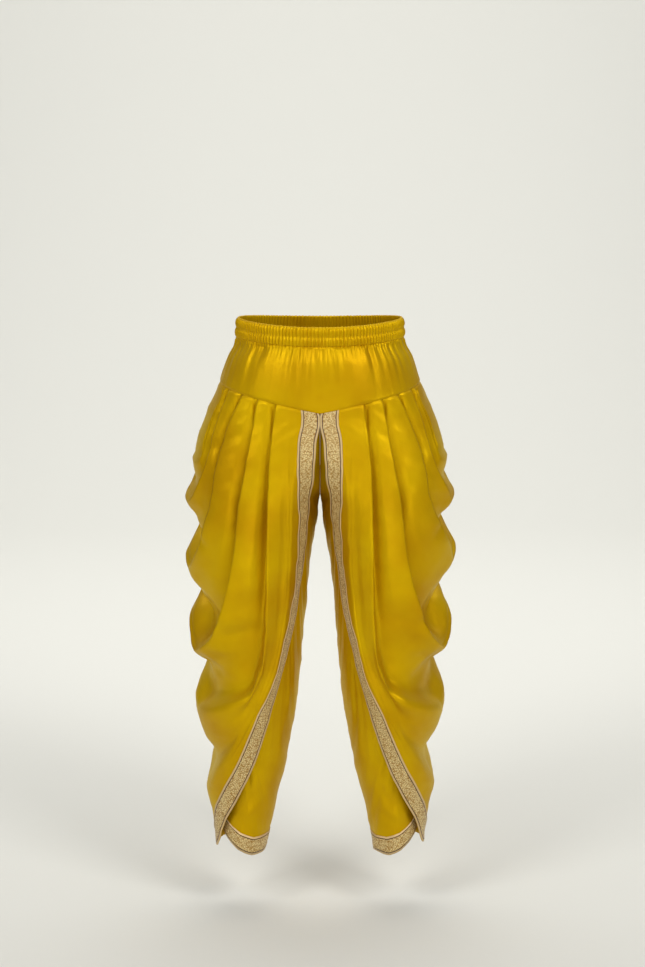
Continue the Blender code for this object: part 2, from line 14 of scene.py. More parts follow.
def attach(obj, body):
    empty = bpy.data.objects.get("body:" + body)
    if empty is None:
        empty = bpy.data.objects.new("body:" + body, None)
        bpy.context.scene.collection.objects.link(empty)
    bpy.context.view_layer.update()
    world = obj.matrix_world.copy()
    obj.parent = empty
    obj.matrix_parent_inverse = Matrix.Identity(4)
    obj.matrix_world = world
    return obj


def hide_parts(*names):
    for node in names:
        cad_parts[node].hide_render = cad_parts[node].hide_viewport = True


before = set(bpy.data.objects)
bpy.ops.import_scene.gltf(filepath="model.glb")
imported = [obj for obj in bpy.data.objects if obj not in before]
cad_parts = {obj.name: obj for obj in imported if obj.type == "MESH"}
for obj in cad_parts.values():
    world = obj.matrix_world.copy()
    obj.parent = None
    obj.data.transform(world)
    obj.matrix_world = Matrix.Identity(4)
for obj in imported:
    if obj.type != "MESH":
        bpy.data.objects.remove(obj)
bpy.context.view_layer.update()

bl_info = {
    "name": "Draped dhoti trousers",
    "version": (1, 0, 0),
    "blender": (4, 5, 0),
    "location": "3D View > Sidebar > Trousers",
    "description": "Dresses the packed model of a pair of draped satin trousers",
    "category": "Add Mesh",
}

MM = 0.001

# Seams of the solids, which the cloth lies on
SEAM_GAP = 0.3 * MM
BAND_HEIGHT = 32 * MM
BAND_THICK = 3.0 * MM
BAND_SIDE_RISE = 8 * MM
YOKE_SIDE_DROP = 104 * MM
YOKE_FRONT_DIP = 41 * MM
YOKE_BACK_DIP = 20 * MM
YOKE_DIP_POWER = 1.47

# Leg panels
BACK_SEAM_DEG = 225.0
BACK_TIP_DEG = 100.0
SWAG_FLARE = 4 * MM
BORDER_WIDTH = 32 * MM
UNDERLAP = 14 * MM
HEM_RISE = 52 * MM
HEM_SIDE_DEG = 80.0
CENTRE_PLACE = 0.3
LEVEL_Z = -345 * MM
HEM_SHAPED_Z = -700 * MM

# How finely each sheet is divided
DRAPE_FRONT_COLUMNS = 104
DRAPE_BACK_COLUMNS = 88
DRAPE_STEPS = 7
UNDER_FRONT_COLUMNS = 26
UNDER_SIDE_COLUMNS = 64
UNDER_ROW_HEIGHT = 7 * MM
YOKE_COLUMNS = 340
YOKE_ROWS = 46
BAND_COLUMNS = 1296
BAND_OUTER_RINGS = 28
BAND_INNER_RINGS = 16

# How finely lines are measured: each half of a fold, the bordered edge, and the way across the border
FOLD_STEPS = 160
EDGE_POINTS = 900
ACROSS_POINTS = 120

# A pressed pleat and the hollow beside it, and the cloth that rolls in at a seam
PLEAT_WIDTH = 3.5 * MM
HOLLOW_PLACE = 7 * MM
HOLLOW_WIDTH = 4.5 * MM
HOLLOW_DEPTH_SHARE = 2.2
ROLL_WIDTH = 2.2 * MM

# The sides of each leg panel that are sewn: left and right are its first and last columns, top its first row
SEWN = {"drape": ("left", "right", "top"), "under": ("left", "top")}

Hull = namedtuple("Hull", "z outer middle inner front back")
# The outside of the draped cloth at each height: reach in X of its outer side, of its middle and of its
# inner side, and reach in Y of its front and back.
HULL = [
    Hull(12, 145, 0, -145, 99, 99),
    Hull(0, 146, 0, -146, 100, 100),
    Hull(-32, 149, 0, -149, 103, 104),
    Hull(-60, 163, 0, -163, 113, 117),
    Hull(-104, 178, 0, -178, 121, 128),
    Hull(-145, 194, 0, -185, 125, 131),
    Hull(-200, 211, 22, -112, 131, 139),
    Hull(-250, 225, 48, -54, 135, 143),
    Hull(-308, 235, 78, -8, 137, 142),
    Hull(-370, 237, 97, 2, 137, 137),
    Hull(-430, 235, 107, 12, 136, 132),
    Hull(-500, 231, 115, 19, 132, 126),
    Hull(-560, 228, 120, 24, 127, 121),
    Hull(-620, 225, 124, 29, 120, 115),
    Hull(-690, 220, 129, 37, 109, 107),
    Hull(-750, 213, 133, 46, 98, 99),
    Hull(-800, 207, 136, 56, 89, 92),
    Hull(-850, 202, 139, 67, 80, 84),
    Hull(-900, 196, 141, 79, 72, 76),
    Hull(-965, 188, 143, 92, 65, 67),
]

Leg = namedtuple("Leg", "z inner outer front back")
# The plain leg under the drape: above the crotch its inner side is past the centre, so the legs meet.
LEG = [
    Leg(-104, -178, 178, 117.5, 128),
    Leg(-145, -185, 188, 121, 131),
    Leg(-200, -112, 190, 120, 137),
    Leg(-250, -52, 190, 116, 134),
    Leg(-280, -24, 188, 112, 126),
    Leg(-308, 0, 186, 109, 118),
    Leg(-357, 6, 182, 105, 106),
    Leg(-416, 16, 180, 101, 95),
    Leg(-504, 25, 178, 96, 84),
    Leg(-578, 31.5, 176, 90, 78),
    Leg(-653, 38, 175, 83, 77),
    Leg(-713, 46.5, 175, 77, 76),
    Leg(-773, 56.5, 176, 71, 73),
    Leg(-818, 65.5, 177, 67, 69),
    Leg(-864, 77, 178, 62, 64),
    Leg(-925, 91, 181, 57, 58),
    Leg(-975, 101, 183, 55, 56),
]

# Shares of a fold's drop at which its table gives the fold's distance from the centre line
STATIONS = (0.2, 0.4, 0.6, 0.8, 0.92)
BACK_DEPTH = 0.6
# How far towards its tip a fold line has come at the same places on the back of the leg
BACK_SWEEP = (0.2, 0.38, 0.55, 0.75, 0.9)

Fold = namedtuple(
    "Fold",
    "name seam x20 x40 x60 x80 x92 spread tip_deg tip_right tip_left rise "
    "seam_out mid_out tip_out back_x back_z rows",
)
# The lines that a leg's draped panel hangs in, from the hip to the bordered edge. Each leaves the front of
# the yoke at seam, passes x20 to x92 (the last two further out by spread on the left leg), turns at the side
# at tip_deg, goes round it while it rises by rise, and ends at the back: at back_x on the yoke, or, where
# that is None, at back_z on the back seam. seam_out, mid_out and tip_out set it off the hull, and rows is
# how wide the cloth is to the next line, in the solid's mesh rows.
FOLDS = [
    Fold("hip", 170, 172, 174, 176, 177, 178, 0, 80, -104, -104, 0, 0, 0, 0, 170, None, 1),
    Fold("fall", 168, 173, 178, 184, 189, 192, 0, 80, -165, -160, 8, 0, 0, 0, 168, None, 1),
    Fold("ridge_1", 165, 176, 187, 196, 204, 209, 0, 80, -246, -240, 10, 0, 1, 1, 165, None, 1),
    Fold("valley_2", 161, 172, 182, 191, 204, 215, 0, 80, -288, -280, 10, -2, -8, -12, 161, None, 1),
    Fold("ridge_2", 158, 173, 185, 196, 212, 224, 2, 80, -318, -312, 12, 0, 2, 3, 158, None, 1),
    Fold("belly_2", 147, 166, 181, 193, 210, 220, 4, 80, -350, -342, 14, 0, -1, -18, 147, None, 2),
    Fold("valley_3", 138, 158, 174, 184, 198, 213, 7, 80, -398, -380, 18, -3, -15, -32, 138, None, 2),
    Fold("ridge_3", 134, 161, 180, 191, 208, 222, 8, 80, -438, -420, 20, 0, 3, 3, 134, None, 1),
    Fold("belly_3", 121, 140, 155, 167, 184, 202, 6, 76, -476, -462, 28, 0, -1, -17, 121, None, 2),
    Fold("valley_4", 110, 121, 134, 144, 163, 181, 4, 72, -538, -530, 46, -3, -18, -37, 110, None, 2),
    Fold("ridge_4", 107, 123, 140, 151, 171, 190, 3, 70, -584, -578, 48, 0, 3, 4, 107, None, 1),
    Fold("belly_4", 92, 104, 113, 122, 142, 169, 1, 72, -612, -606, 40, 0, -1, -23, 90, None, 2),
    Fold("valley_5", 79, 87, 89, 91, 98, 114, 0, 76, -662, -656, 30, -3, -15, -27, 70, None, 1),
    Fold("ridge_5", 75, 88, 92, 94, 100, 124, 0, 76, -696, -690, 20, 0, 3, 3, 60, None, 1),
    Fold("strip", 58, 68, 73, 80, 103, 144, 0, 80, -742, -734, 12, 0, 1, -3, 0, None, 2),
    Fold("valley_6", 47, 58, 64, 74, 109, 159, 0, 80, -784, -774, 0, 0, -1, -20, None, -272, 1),
    Fold("ridge_6", 40, 51, 57, 73, 126, 175, 0, 80, -846, -836, 0, 0, 1, 4, None, -560, 2),
    Fold("border_top", 33, 45, 52, 75, 142, 184, 0, 80, -902, -893, 0, 0, 2, 0, None, -930, 2),
    Fold("edge", 2, 14, 29, 67, 120, 172, 0, 80, -958, -952, 0, 0, -8, 0, None, -965, 0),
]

# The fold lines that are pressed edges, and how much of an edge each keeps at its tip
PLEATS = {"ridge_1": 0.2, "ridge_2": 0.7, "ridge_3": 0.7, "ridge_4": 0.7, "ridge_5": 0.0}

LegSide = namedtuple("LegSide", "name sign tip spread")
LEG_SIDES = [LegSide("left", 1, "tip_left", 1), LegSide("right", -1, "tip_right", 0)]

# Soft creases in the cloth, apart from the folds above, on the leg whose side it names. A crease runs from
# a to b in the view that it is given in (front and back: across and up, outer: forward and up), bowed
# sideways by bow. It is width to each side, and depth high, or, where that is below 0, deep.
Crease = namedtuple("Crease", "panel leg view a_across a_up b_across b_up bow width depth")
CREASES = [
    Crease("drape", "both", "front", 52, -392, 57, -560, 3, 7, 1.3),
    Crease("drape", "right", "front", 62, -418, 66, -470, -2, 6, 2.2),
    Crease("drape", "left", "front", 58, -425, 76, -560, -5, 8, -1.8),
    Crease("drape", "left", "front", 88, -590, 156, -752, 8, 9, -3.0),
    Crease("drape", "left", "front", 104, -596, 176, -742, 10, 9, 2.2),
    Crease("drape", "right", "front", 100, -664, 150, -750, 6, 8, -2.2),
    Crease("drape", "right", "front", 120, -668, 172, -760, 6, 9, 1.6),
    Crease("drape", "both", "front", 124, -640, 200, -664, -14, 10, 1.6),
    Crease("drape", "both", "front", 150, -566, 205, -556, -12, 9, 1.8),
    Crease("drape", "right", "front", 128, -520, 176, -548, -12, 10, -1.6),
    Crease("drape", "left", "front", 132, -505, 188, -560, -12, 10, -1.5),
    Crease("drape", "right", "front", 232, -328, 204, -374, 2, 8, 1.8),
    Crease("drape", "right", "front", 228, -352, 200, -392, 2, 8, -4.0),
    Crease("drape", "left", "front", 230, -314, 210, -352, 2, 8, 1.8),
    Crease("drape", "left", "front", 226, -334, 200, -374, 2, 8, -4.0),
    Crease("drape", "right", "front", 232, -436, 178, -508, 3, 9, 2.4),
    Crease("drape", "right", "front", 228, -464, 174, -532, 3, 10, -6.0),
    Crease("drape", "left", "front", 236, -410, 180, -506, 3, 9, 2.4),
    Crease("drape", "left", "front", 230, -440, 176, -530, 3, 10, -6.0),
    Crease("drape", "right", "front", 222, -556, 174, -602, 5, 9, 2.4),
    Crease("drape", "right", "front", 218, -584, 168, -626, 5, 10, -5.0),
    Crease("drape", "left", "front", 220, -552, 162, -612, 5, 9, 2.4),
    Crease("drape", "left", "front", 216, -580, 156, -634, 5, 10, -5.0),
    Crease("drape", "both", "front", 168, -300, 214, -352, -6, 9, 1.2),
    Crease("drape", "both", "front", 160, -330, 196, -402, 6, 9, -1.2),
    Crease("drape", "both", "front", 118, -190, 128, -330, 4, 9, 0.9),
    Crease("drape", "both", "front", 92, -170, 98, -300, -3, 9, -0.8),
    Crease("drape", "both", "outer", 62, -300, -10, -352, 10, 12, -1.8),
    Crease("drape", "both", "outer", -58, -372, 14, -428, -8, 12, 1.8),
    Crease("drape", "both", "outer", 70, -452, 0, -520, 8, 12, -2.0),
    Crease("drape", "both", "outer", -66, -560, 10, -600, -9, 12, 1.8),
    Crease("drape", "both", "outer", 60, -640, -12, -690, 8, 12, -2.0),
    Crease("drape", "both", "outer", -50, -740, 24, -790, -7, 11, -1.8),
    Crease("drape", "both", "outer", 48, -780, -6, -850, 7, 10, 1.6),
    Crease("drape", "both", "back", 168, -200, 180, -330, 5, 10, -1.0),
    Crease("drape", "both", "back", 120, -180, 132, -330, 5, 10, 1.0),
    Crease("drape", "both", "back", 60, -170, 74, -330, 6, 11, -1.1),
    Crease("drape", "left", "back", 96, -430, 176, -560, 12, 12, -1.8),
    Crease("drape", "right", "back", 102, -400, 180, -520, 10, 12, 1.8),
    Crease("drape", "both", "back", 100, -610, 180, -700, 12, 11, 1.8),
    Crease("drape", "both", "back", 108, -720, 172, -800, 9, 10, -1.8),
    Crease("drape", "left", "back", 120, -820, 178, -868, 6, 8, 1.4),
    Crease("drape", "right", "back", 126, -800, 174, -860, 5, 8, -1.4),
    Crease("under", "both", "front", 47, -590, 66, -735, -2, 5, 1.5),
    Crease("under", "both", "front", 58, -560, 78, -760, 2, 6, -1.1),
    Crease("under", "both", "front", 112, -862, 152, -896, -5, 6, 2.0),
    Crease("under", "both", "front", 118, -846, 160, -880, -5, 6, -1.8),
    Crease("under", "left", "front", 100, -826, 124, -868, 4, 6, -1.3),
    Crease("under", "right", "front", 104, -800, 122, -850, 4, 6, 1.3),
    Crease("under", "both", "back", 40, -330, 62, -480, 5, 9, -1.6),
    Crease("under", "both", "back", 30, -380, 70, -400, -6, 9, 1.6),
    Crease("under", "both", "back", 76, -640, 98, -760, 5, 8, 1.4),
    Crease("under", "both", "back", 96, -820, 134, -850, -5, 7, -1.4),
]


def linear(code):
    """An sRGB hex value as the linear colour that a shader takes."""
    parts = [int(code[i : i + 2], 16) / 255 for i in (1, 3, 5)]
    return [c / 12.92 if c <= 0.04045 else ((c + 0.055) / 1.055) ** 2.4 for c in parts]


def length_property(name, description, default, low=0.0, high=1.0):
    words = {"name": name, "description": description, "unit": "LENGTH", "subtype": "DISTANCE"}
    return bpy.props.FloatProperty(**words, default=default, min=low, max=high, precision=5)


def colour_property(name, description, code):
    words = {"name": name, "description": description, "subtype": "COLOR", "size": 3}
    return bpy.props.FloatVectorProperty(**words, default=linear(code), min=0, max=1)


class TrousersCloth(bpy.types.PropertyGroup):
    satin_thick: length_property("Satin", "Thickness of the satin", 0.8 * MM)
    border_thick: length_property("Border", "Thickness of the woven border", 0.7 * MM)
    tuck: length_property("Tuck", "How far a panel's sewn edge reaches past its seam", 2.4 * MM)
    seam_roll: length_property("Seam roll", "How deep the cloth turns in at a seam", 1.3 * MM)
    pleat_edge: length_property("Pleat edge", "How far the pressed edge of a pleat stands up", 1.7 * MM)
    unevenness: length_property("Unevenness", "Height of the soft waves along the folds", 1.3 * MM)
    crumple: length_property("Crumple", "Height of the small soft dents", 0.3 * MM)


class TrousersBand(bpy.types.PropertyGroup):
    gathers: bpy.props.IntProperty(
        name="Gathers", description="Gathers in each elastic channel, all round", default=144, min=12, max=200
    )
    gather_depth: length_property("Gather depth", "Height of a gather", 3.0 * MM)
    channel_swell: length_property("Channel swell", "How far a channel stands out", 3.0 * MM)
    pucker: length_property("Pucker", "Height of the small gathers at the top of the yoke", 2.6 * MM)
    pucker_drop: length_property("Pucker drop", "How far down they reach", 9 * MM)
    soft_fold: length_property("Soft fold", "Height of the soft folds below them", 3.6 * MM)
    soft_fold_drop: length_property("Soft fold drop", "How far down those reach", 48 * MM)


class TrousersColours(bpy.types.PropertyGroup):
    satin: colour_property("Satin", "Mustard yellow of the satin", "#CFA604")
    satin_deep: colour_property("Satin, deeper", "The satin where its dye took more", "#C09003")
    border_ground: colour_property("Border ground", "Beige ground weave of the border", "#D2B370")
    border_light: colour_property("Border light", "Pale threads of the border", "#E2CD92")
    border_gold: colour_property("Border gold", "Metallic threads of the border", "#A2762C")
    border_edge: colour_property("Border edge", "Cream selvedge of the border", "#D8B983")
    border_line: colour_property("Border line", "Brown line inside each selvedge", "#4A2814")
    thread: colour_property("Thread", "Sewing thread on the satin", "#C79A08")
    floor: colour_property("Floor", "Floor and backdrop", "#DEDDD5")


class TrousersStage(bpy.types.PropertyGroup):
    floor_z: length_property("Floor", "Height of the floor under the trousers", -1.075, -3, 0)
    camera_x: length_property("Camera across", "Camera's place across", 0.0044, -5, 5)
    camera_y: length_property("Camera back", "Camera's place in front of the trousers", -4.0, -9, 0)
    camera_z: length_property("Camera up", "Camera's height", 0.42, -3, 3)
    camera_pitch: bpy.props.FloatProperty(
        name="Camera pitch", description="How far the camera looks down", default=math.radians(10.05),
        subtype="ANGLE",
    )
    camera_lens: bpy.props.FloatProperty(
        name="Camera lens", description="Focal length in mm for a frame 36 mm high", default=84.7, min=20
    )
    key_power: bpy.props.FloatProperty(name="Key light", description="Watts", default=64.0, unit="POWER")
    paper_power: bpy.props.FloatProperty(
        name="Paper light", description="Watts", default=215.0, unit="POWER"
    )
    side_power: bpy.props.FloatProperty(name="Side light", description="Watts", default=54.0, unit="POWER")
    front_power: bpy.props.FloatProperty(name="Front light", description="Watts", default=17.0, unit="POWER")
    top_power: bpy.props.FloatProperty(name="Top light", description="Watts", default=11.0, unit="POWER")
    world: bpy.props.FloatProperty(name="Studio", description="Strength of the light all round", default=0.22)


GROUPS = {"cloth": TrousersCloth, "band": TrousersBand, "colours": TrousersColours, "stage": TrousersStage}


def settings(context, name):
    return getattr(context.scene, f"trousers_{name}")


def curve_through(xs, ys, at):
    """A smooth curve through the points that never overshoots them, read at the given places."""
    xs, ys = np.asarray(xs, float), np.asarray(ys, float)
    step, rise = np.diff(xs), np.diff(ys)
    slope = rise / step
    inner = np.zeros(len(xs) - 2)
    turns = slope[:-1] * slope[1:] > 0
    near, far = 2 * step[1:] + step[:-1], step[1:] + 2 * step[:-1]
    total = near[turns] / slope[:-1][turns] + far[turns] / slope[1:][turns]
    inner[turns] = (near + far)[turns] / total
    tangent = np.concatenate([[slope[0]], inner, [slope[-1]]])
    at = np.clip(np.asarray(at, float), xs[0], xs[-1])
    i = np.clip(np.searchsorted(xs, at, side="right") - 1, 0, len(step) - 1)
    t, h = (at - xs[i]) / step[i], step[i]
    return (
        ys[i] * (1 + 2 * t) * (1 - t) ** 2
        + tangent[i] * h * t * (1 - t) ** 2
        + ys[i + 1] * t * t * (3 - 2 * t)
        + tangent[i + 1] * h * t * t * (t - 1)
    )


def column(table, name, z):
    """One column of a table of heights, in metres, read smoothly at height z."""
    rows = table[::-1]
    heights = [row.z * MM for row in rows]
    return curve_through(heights, [getattr(row, name) * MM for row in rows], z)


def ease(t):
    t = np.clip(t, 0, 1)
    return t * t * (3 - 2 * t)


def oval(middle, outer, inner, front, back, deg, out):
    """Points of an oval section, 0 degrees at the front and 90 at the outer side, moved out by out."""
    s, c = np.sin(np.radians(deg)), np.cos(np.radians(deg))
    across = np.where(s >= 0, outer - middle, middle - inner)
    along = np.where(c >= 0, front, back)
    facing = np.stack([along * s, -across * c], -1)
    facing /= np.linalg.norm(facing, axis=-1, keepdims=True)
    return middle + across * s + out * facing[..., 0], -along * c + out * facing[..., 1]


def hull_point(deg, z, out=0.0):
    parts = [column(HULL, name, z) for name in ("middle", "outer", "inner", "front", "back")]
    x, y = oval(*parts, deg, out)
    return np.stack(np.broadcast_arrays(x, y, z), -1)


def leg_point(deg, z, out=0.0):
    inner, outer = column(LEG, "inner", z), column(LEG, "outer", z)
    parts = [(inner + outer) / 2, outer, inner, column(LEG, "front", z), column(LEG, "back", z)]
    x, y = oval(*parts, deg, out)
    return np.stack(np.broadcast_arrays(x, y, z), -1)


def drape_point(deg, z, out=0.0):
    """A point of the draped panel, which closes in on the plain leg towards its back seam."""
    closing = ease((deg - 130) / (BACK_SEAM_DEG - 130))[..., None]
    point = hull_point(deg, z, out) * (1 - closing) + leg_point(deg, z, out) * closing
    point[..., 0] = np.maximum(point[..., 0], SEAM_GAP / 2)
    return point


def yoke_seam_z(deg):
    """Height of the yoke's lower seam, all round: 0 degrees is the centre front, 180 the centre back."""
    folded = np.abs((np.asarray(deg, float) + 180) % 360 - 180)
    front = np.clip(1 - folded / 90, 0, 1) ** YOKE_DIP_POWER
    back = np.clip(folded / 90 - 1, 0, 1) ** YOKE_DIP_POWER
    return -YOKE_SIDE_DROP - YOKE_FRONT_DIP * front - YOKE_BACK_DIP * back


def centre_deg(z):
    """How far round from its front the plain leg, at height z, reaches the centre line."""
    inner, outer = column(LEG, "inner", z), column(LEG, "outer", z)
    return np.degrees(np.arcsin(np.clip((inner + outer) / (outer - inner), 0, 1)))


def crotch_z(deg):
    """Height at which the plain leg, at this angle, reaches the centre line."""
    heights = np.linspace(-0.3079, -0.1455, 400)
    from_side = 90 - np.abs(np.abs(deg) - 90)
    return np.interp(-from_side, -centre_deg(heights), heights)


def seam_deg(x, back=False):
    """The angle at which the yoke seam is x away from the centre line."""
    steps = np.linspace(0, 90, 181)
    angles = 180 - steps if back else steps
    reach = hull_point(angles, yoke_seam_z(angles))[..., 0]
    return float(np.interp(x, reach, angles))


def hull_deg(x, z):
    """The angle, on the front, at which the hull at height z is x away from the centre line."""
    middle, outer, inner = (column(HULL, name, z) for name in ("middle", "outer", "inner"))
    share = np.where(x >= middle, (x - middle) / (outer - middle), (x - middle) / (middle - inner))
    return np.degrees(np.arcsin(np.clip(share, -0.98, 0.985)))


def chord_length(points):
    return np.concatenate([[0], np.cumsum(np.linalg.norm(np.diff(points, axis=0), axis=1))])


def down_a_side(fold, reach, seam_z, tip):
    """Places down a fold line's straighter part: height, distance from the centre, distance off the hull."""
    shares = np.linspace(0, STATIONS[-1], 18)
    x = curve_through((0, *STATIONS), np.array(reach) * MM, shares)
    late = 0.85 if fold.back_x is None else 0.5
    out = np.array([fold.seam_out, fold.mid_out, fold.mid_out + 0.01, fold.tip_out]) * MM
    out = curve_through((0, 0.5, late + 0.01, 1), out, shares)
    return seam_z + (tip - seam_z) * shares, x, out


def crowded_ends(count):
    """Places from 0 to 1 that lie closer together at both ends."""
    t = np.linspace(0, 1, count)
    return t - 0.85 * np.sin(2 * np.pi * t) / (2 * np.pi)


def fold_line(fold, side):
    """Points of one fold line, from the front seam round the side to the back seam."""
    front_shares = crowded_ends(DRAPE_FRONT_COLUMNS)
    back_shares = crowded_ends(DRAPE_BACK_COLUMNS)[1:]
    start = seam_deg(fold.seam * MM)
    if fold.name == "hip":
        end = seam_deg(fold.back_x * MM, back=True)
        turn = np.concatenate([start + (90 - start) * front_shares, 90 + (end - 90) * back_shares])
        return drape_point(turn, yoke_seam_z(turn) - SEAM_GAP)

    tip, tip_out = getattr(fold, side.tip) * MM, fold.tip_out * MM
    spread = fold.spread * side.spread
    reach = [fold.seam, fold.x20, fold.x40, fold.x60, fold.x80 + spread, fold.x92 + spread]
    z, x, out = down_a_side(fold, reach, float(yoke_seam_z(start)) - SEAM_GAP, tip)
    deg = np.minimum(hull_deg(x[1:], z[1:]), fold.tip_deg - 1)
    deg = np.concatenate([[start], deg, [fold.tip_deg]])
    z, out = np.append(z, tip), np.append(out, tip_out)
    turned = len(deg) - 1
    if fold.back_x is not None:
        end = seam_deg(fold.back_x * MM, back=True)
        back_tip = tip + fold.rise * MM
        side_x = float(column(HULL, "outer", back_tip)) / MM
        reach = [fold.back_x] + [fold.back_x + (side_x - fold.back_x) * share for share in BACK_SWEEP]
        shallower = fold._replace(mid_out=fold.mid_out * BACK_DEPTH)
        back_z, back_x, back_out = down_a_side(shallower, reach, float(yoke_seam_z(end)) - SEAM_GAP, back_tip)
        back_deg = np.maximum(180 - hull_deg(back_x[1:], back_z[1:]), BACK_TIP_DEG + 1)
        back_deg = np.append(end, back_deg)
        deg = np.concatenate([deg, [BACK_TIP_DEG], back_deg[::-1]])
        z = np.concatenate([z, [back_tip], back_z[::-1]])
        out = np.concatenate([out, [tip_out + SWAG_FLARE], back_out[::-1]])
    else:
        share = np.linspace(0, 1, 8)[1:]
        deg = np.concatenate([deg, fold.tip_deg + (BACK_SEAM_DEG - fold.tip_deg) * share])
        z = np.concatenate([z, tip + (fold.back_z * MM - tip) * share**2])
        out = np.concatenate([out, tip_out * (1 - ease(share))])

    knots = chord_length(drape_point(deg, z, out))
    front = np.linspace(0, knots[turned], FOLD_STEPS + 1)
    fine = np.concatenate([front, np.linspace(knots[turned], knots[-1], FOLD_STEPS + 1)[1:]])
    deg, z, out = (curve_through(knots, values, fine) for values in (deg, z, out))
    length = chord_length(drape_point(deg, z, out))
    to_tip = length[FOLD_STEPS]
    places = np.concatenate([to_tip * front_shares, to_tip + (length[-1] - to_tip) * back_shares])
    return drape_point(*(np.interp(places, length, values) for values in (deg, z, out)))


def between(before, start, end, after, share):
    """A point between start and end on a centripetal spline through four points, row by row."""
    knots = [np.zeros(len(start))]
    for a, b in ((before, start), (start, end), (end, after)):
        knots.append(knots[-1] + np.maximum(np.linalg.norm(b - a, axis=1), 1e-6) ** 0.5)
    t = knots[1] + (knots[2] - knots[1]) * share

    def mix(p, q, i, j):
        share_q = ((t - knots[i]) / (knots[j] - knots[i]))[:, None]
        return p * (1 - share_q) + q * share_q

    first = mix(mix(before, start, 0, 1), mix(start, end, 1, 2), 0, 2)
    second = mix(mix(start, end, 1, 2), mix(end, after, 2, 3), 1, 3)
    return mix(first, second, 1, 2)


def facings(grid, smoothing=1):
    """The way that each point of a sheet faces, outwards, evened out over its neighbours."""
    facing = np.cross(np.gradient(grid, axis=0), np.gradient(grid, axis=1))
    facing /= np.maximum(np.linalg.norm(facing, axis=-1, keepdims=True), 1e-12)
    for _ in range(smoothing):
        wide = np.pad(facing, ((1, 1), (1, 1), (0, 0)), mode="edge")
        facing = wide[:-2, 1:-1] + wide[2:, 1:-1] + wide[1:-1, :-2] + wide[1:-1, 2:] + facing
        facing /= np.maximum(np.linalg.norm(facing, axis=-1, keepdims=True), 1e-12)
    return facing


def arc_lengths(grid, axis):
    """Lengths along the sheet's rows (axis 1) or down its columns (axis 0), from the first point of each."""
    steps = np.linalg.norm(np.diff(grid, axis=axis), axis=-1)
    room = [(0, 0), (0, 0)]
    room[axis] = (1, 0)
    return np.cumsum(np.pad(steps, room), axis=axis)


def pull(grid, at, target, reach=0.05):
    """Moves one side column of a sheet onto target, and the cloth near it less and less."""
    along = arc_lengths(grid, 1)
    away = along if at == 0 else along[:, -1:] - along
    grid += (target - grid[:, at])[:, None] * ease(1 - away / reach)[..., None]


def finer(line, count):
    """The same line as that many points, evenly apart."""
    length = chord_length(line)
    places = np.linspace(0, length[-1], count)
    return np.stack([np.interp(places, length, line[:, k]) for k in range(3)], axis=1)


def even_border(grid, first):
    """Sets a panel's last rows, from the one numbered first, so that they span no more than the border's
    width, which is measured square to the edge."""
    steps = len(grid) - 1 - first
    edge = finer(grid[-1], EDGE_POINTS)
    for c in range(grid.shape[1]):
        up = finer(grid[::-1, c][: 4 * steps], ACROSS_POINTS)
        away = np.linalg.norm(up[:, None] - edge, axis=2).min(axis=1)
        away = np.maximum.accumulate(away) + np.linspace(0, 1e-9, len(away))
        width = min(BORDER_WIDTH, np.linalg.norm(grid[first, c] - edge, axis=1).min())
        for step in range(1, steps + 1):
            place = width * step / steps
            grid[-1 - step, c] = [np.interp(place, away, up[:, k]) for k in range(3)]


def drape_sheet(side):
    """Points of a leg's draped panel, a row for each step from the hip to the edge, and where folds start."""
    lines = [fold_line(fold, side) for fold in FOLDS]
    lines = [2 * lines[0] - lines[1], *lines, 2 * lines[-1] - lines[-2]]
    grid, starts = [], {}
    for i, fold in enumerate(FOLDS):
        starts[fold.name] = len(grid)
        grid.append(lines[i + 1])
        for step in range(1, fold.rows * DRAPE_STEPS):
            grid.append(between(*lines[i : i + 4], step / (fold.rows * DRAPE_STEPS)))
    grid = np.array(grid)
    even_border(grid, starts["border_top"])
    front, back = grid[:, 0].copy(), grid[:, -1].copy()
    for row in range(len(grid)):
        front[row, 2] = yoke_seam_z(seam_deg(front[row, 0])) - SEAM_GAP
        if row <= starts["strip"]:
            back[row, 2] = yoke_seam_z(seam_deg(back[row, 0], back=True)) - SEAM_GAP
        elif row < starts["valley_6"]:
            back[row] = leg_point(180 + centre_deg(back[row, 2]), back[row, 2])
        else:
            back[row] = leg_point(BACK_SEAM_DEG, back[row, 2])
    pull(grid, 0, front)
    pull(grid, -1, back)
    grid[..., 0] = np.maximum(grid[..., 0], SEAM_GAP / 2)
    return grid, starts


def fold_seam(name):
    return FOLDS[[fold.name for fold in FOLDS].index(name)].seam * MM


def under_edge_deg(z):
    """The angle of the plain panel's free front edge, which lies under the border."""
    border = FOLDS[[fold.name for fold in FOLDS].index("border_top")]
    top = float(yoke_seam_z(seam_deg(border.seam * MM)))
    shares = (0, *STATIONS, 1)
    reach = [getattr(border, f"x{share * 100:.0f}") for share in STATIONS]
    reach = np.array([border.seam, *reach, reach[-1]]) * MM + UNDERLAP
    heights = top + (border.tip_right * MM - top) * np.array(shares)
    x = curve_through(heights[::-1], reach[::-1], z)
    inner, outer = column(LEG, "inner", z), column(LEG, "outer", z)
    share = (x - (inner + outer) / 2) / ((outer - inner) / 2)
    return np.degrees(np.arcsin(np.clip(share, -0.9, 0.97)))


def under_hem_z(deg, bottom):
    """The plain panel's hem: lowest at the inner front, and rising under the drape to the outer side."""
    return bottom + HEM_RISE * np.clip((deg + 30) / 110, 0, 1) ** 1.15


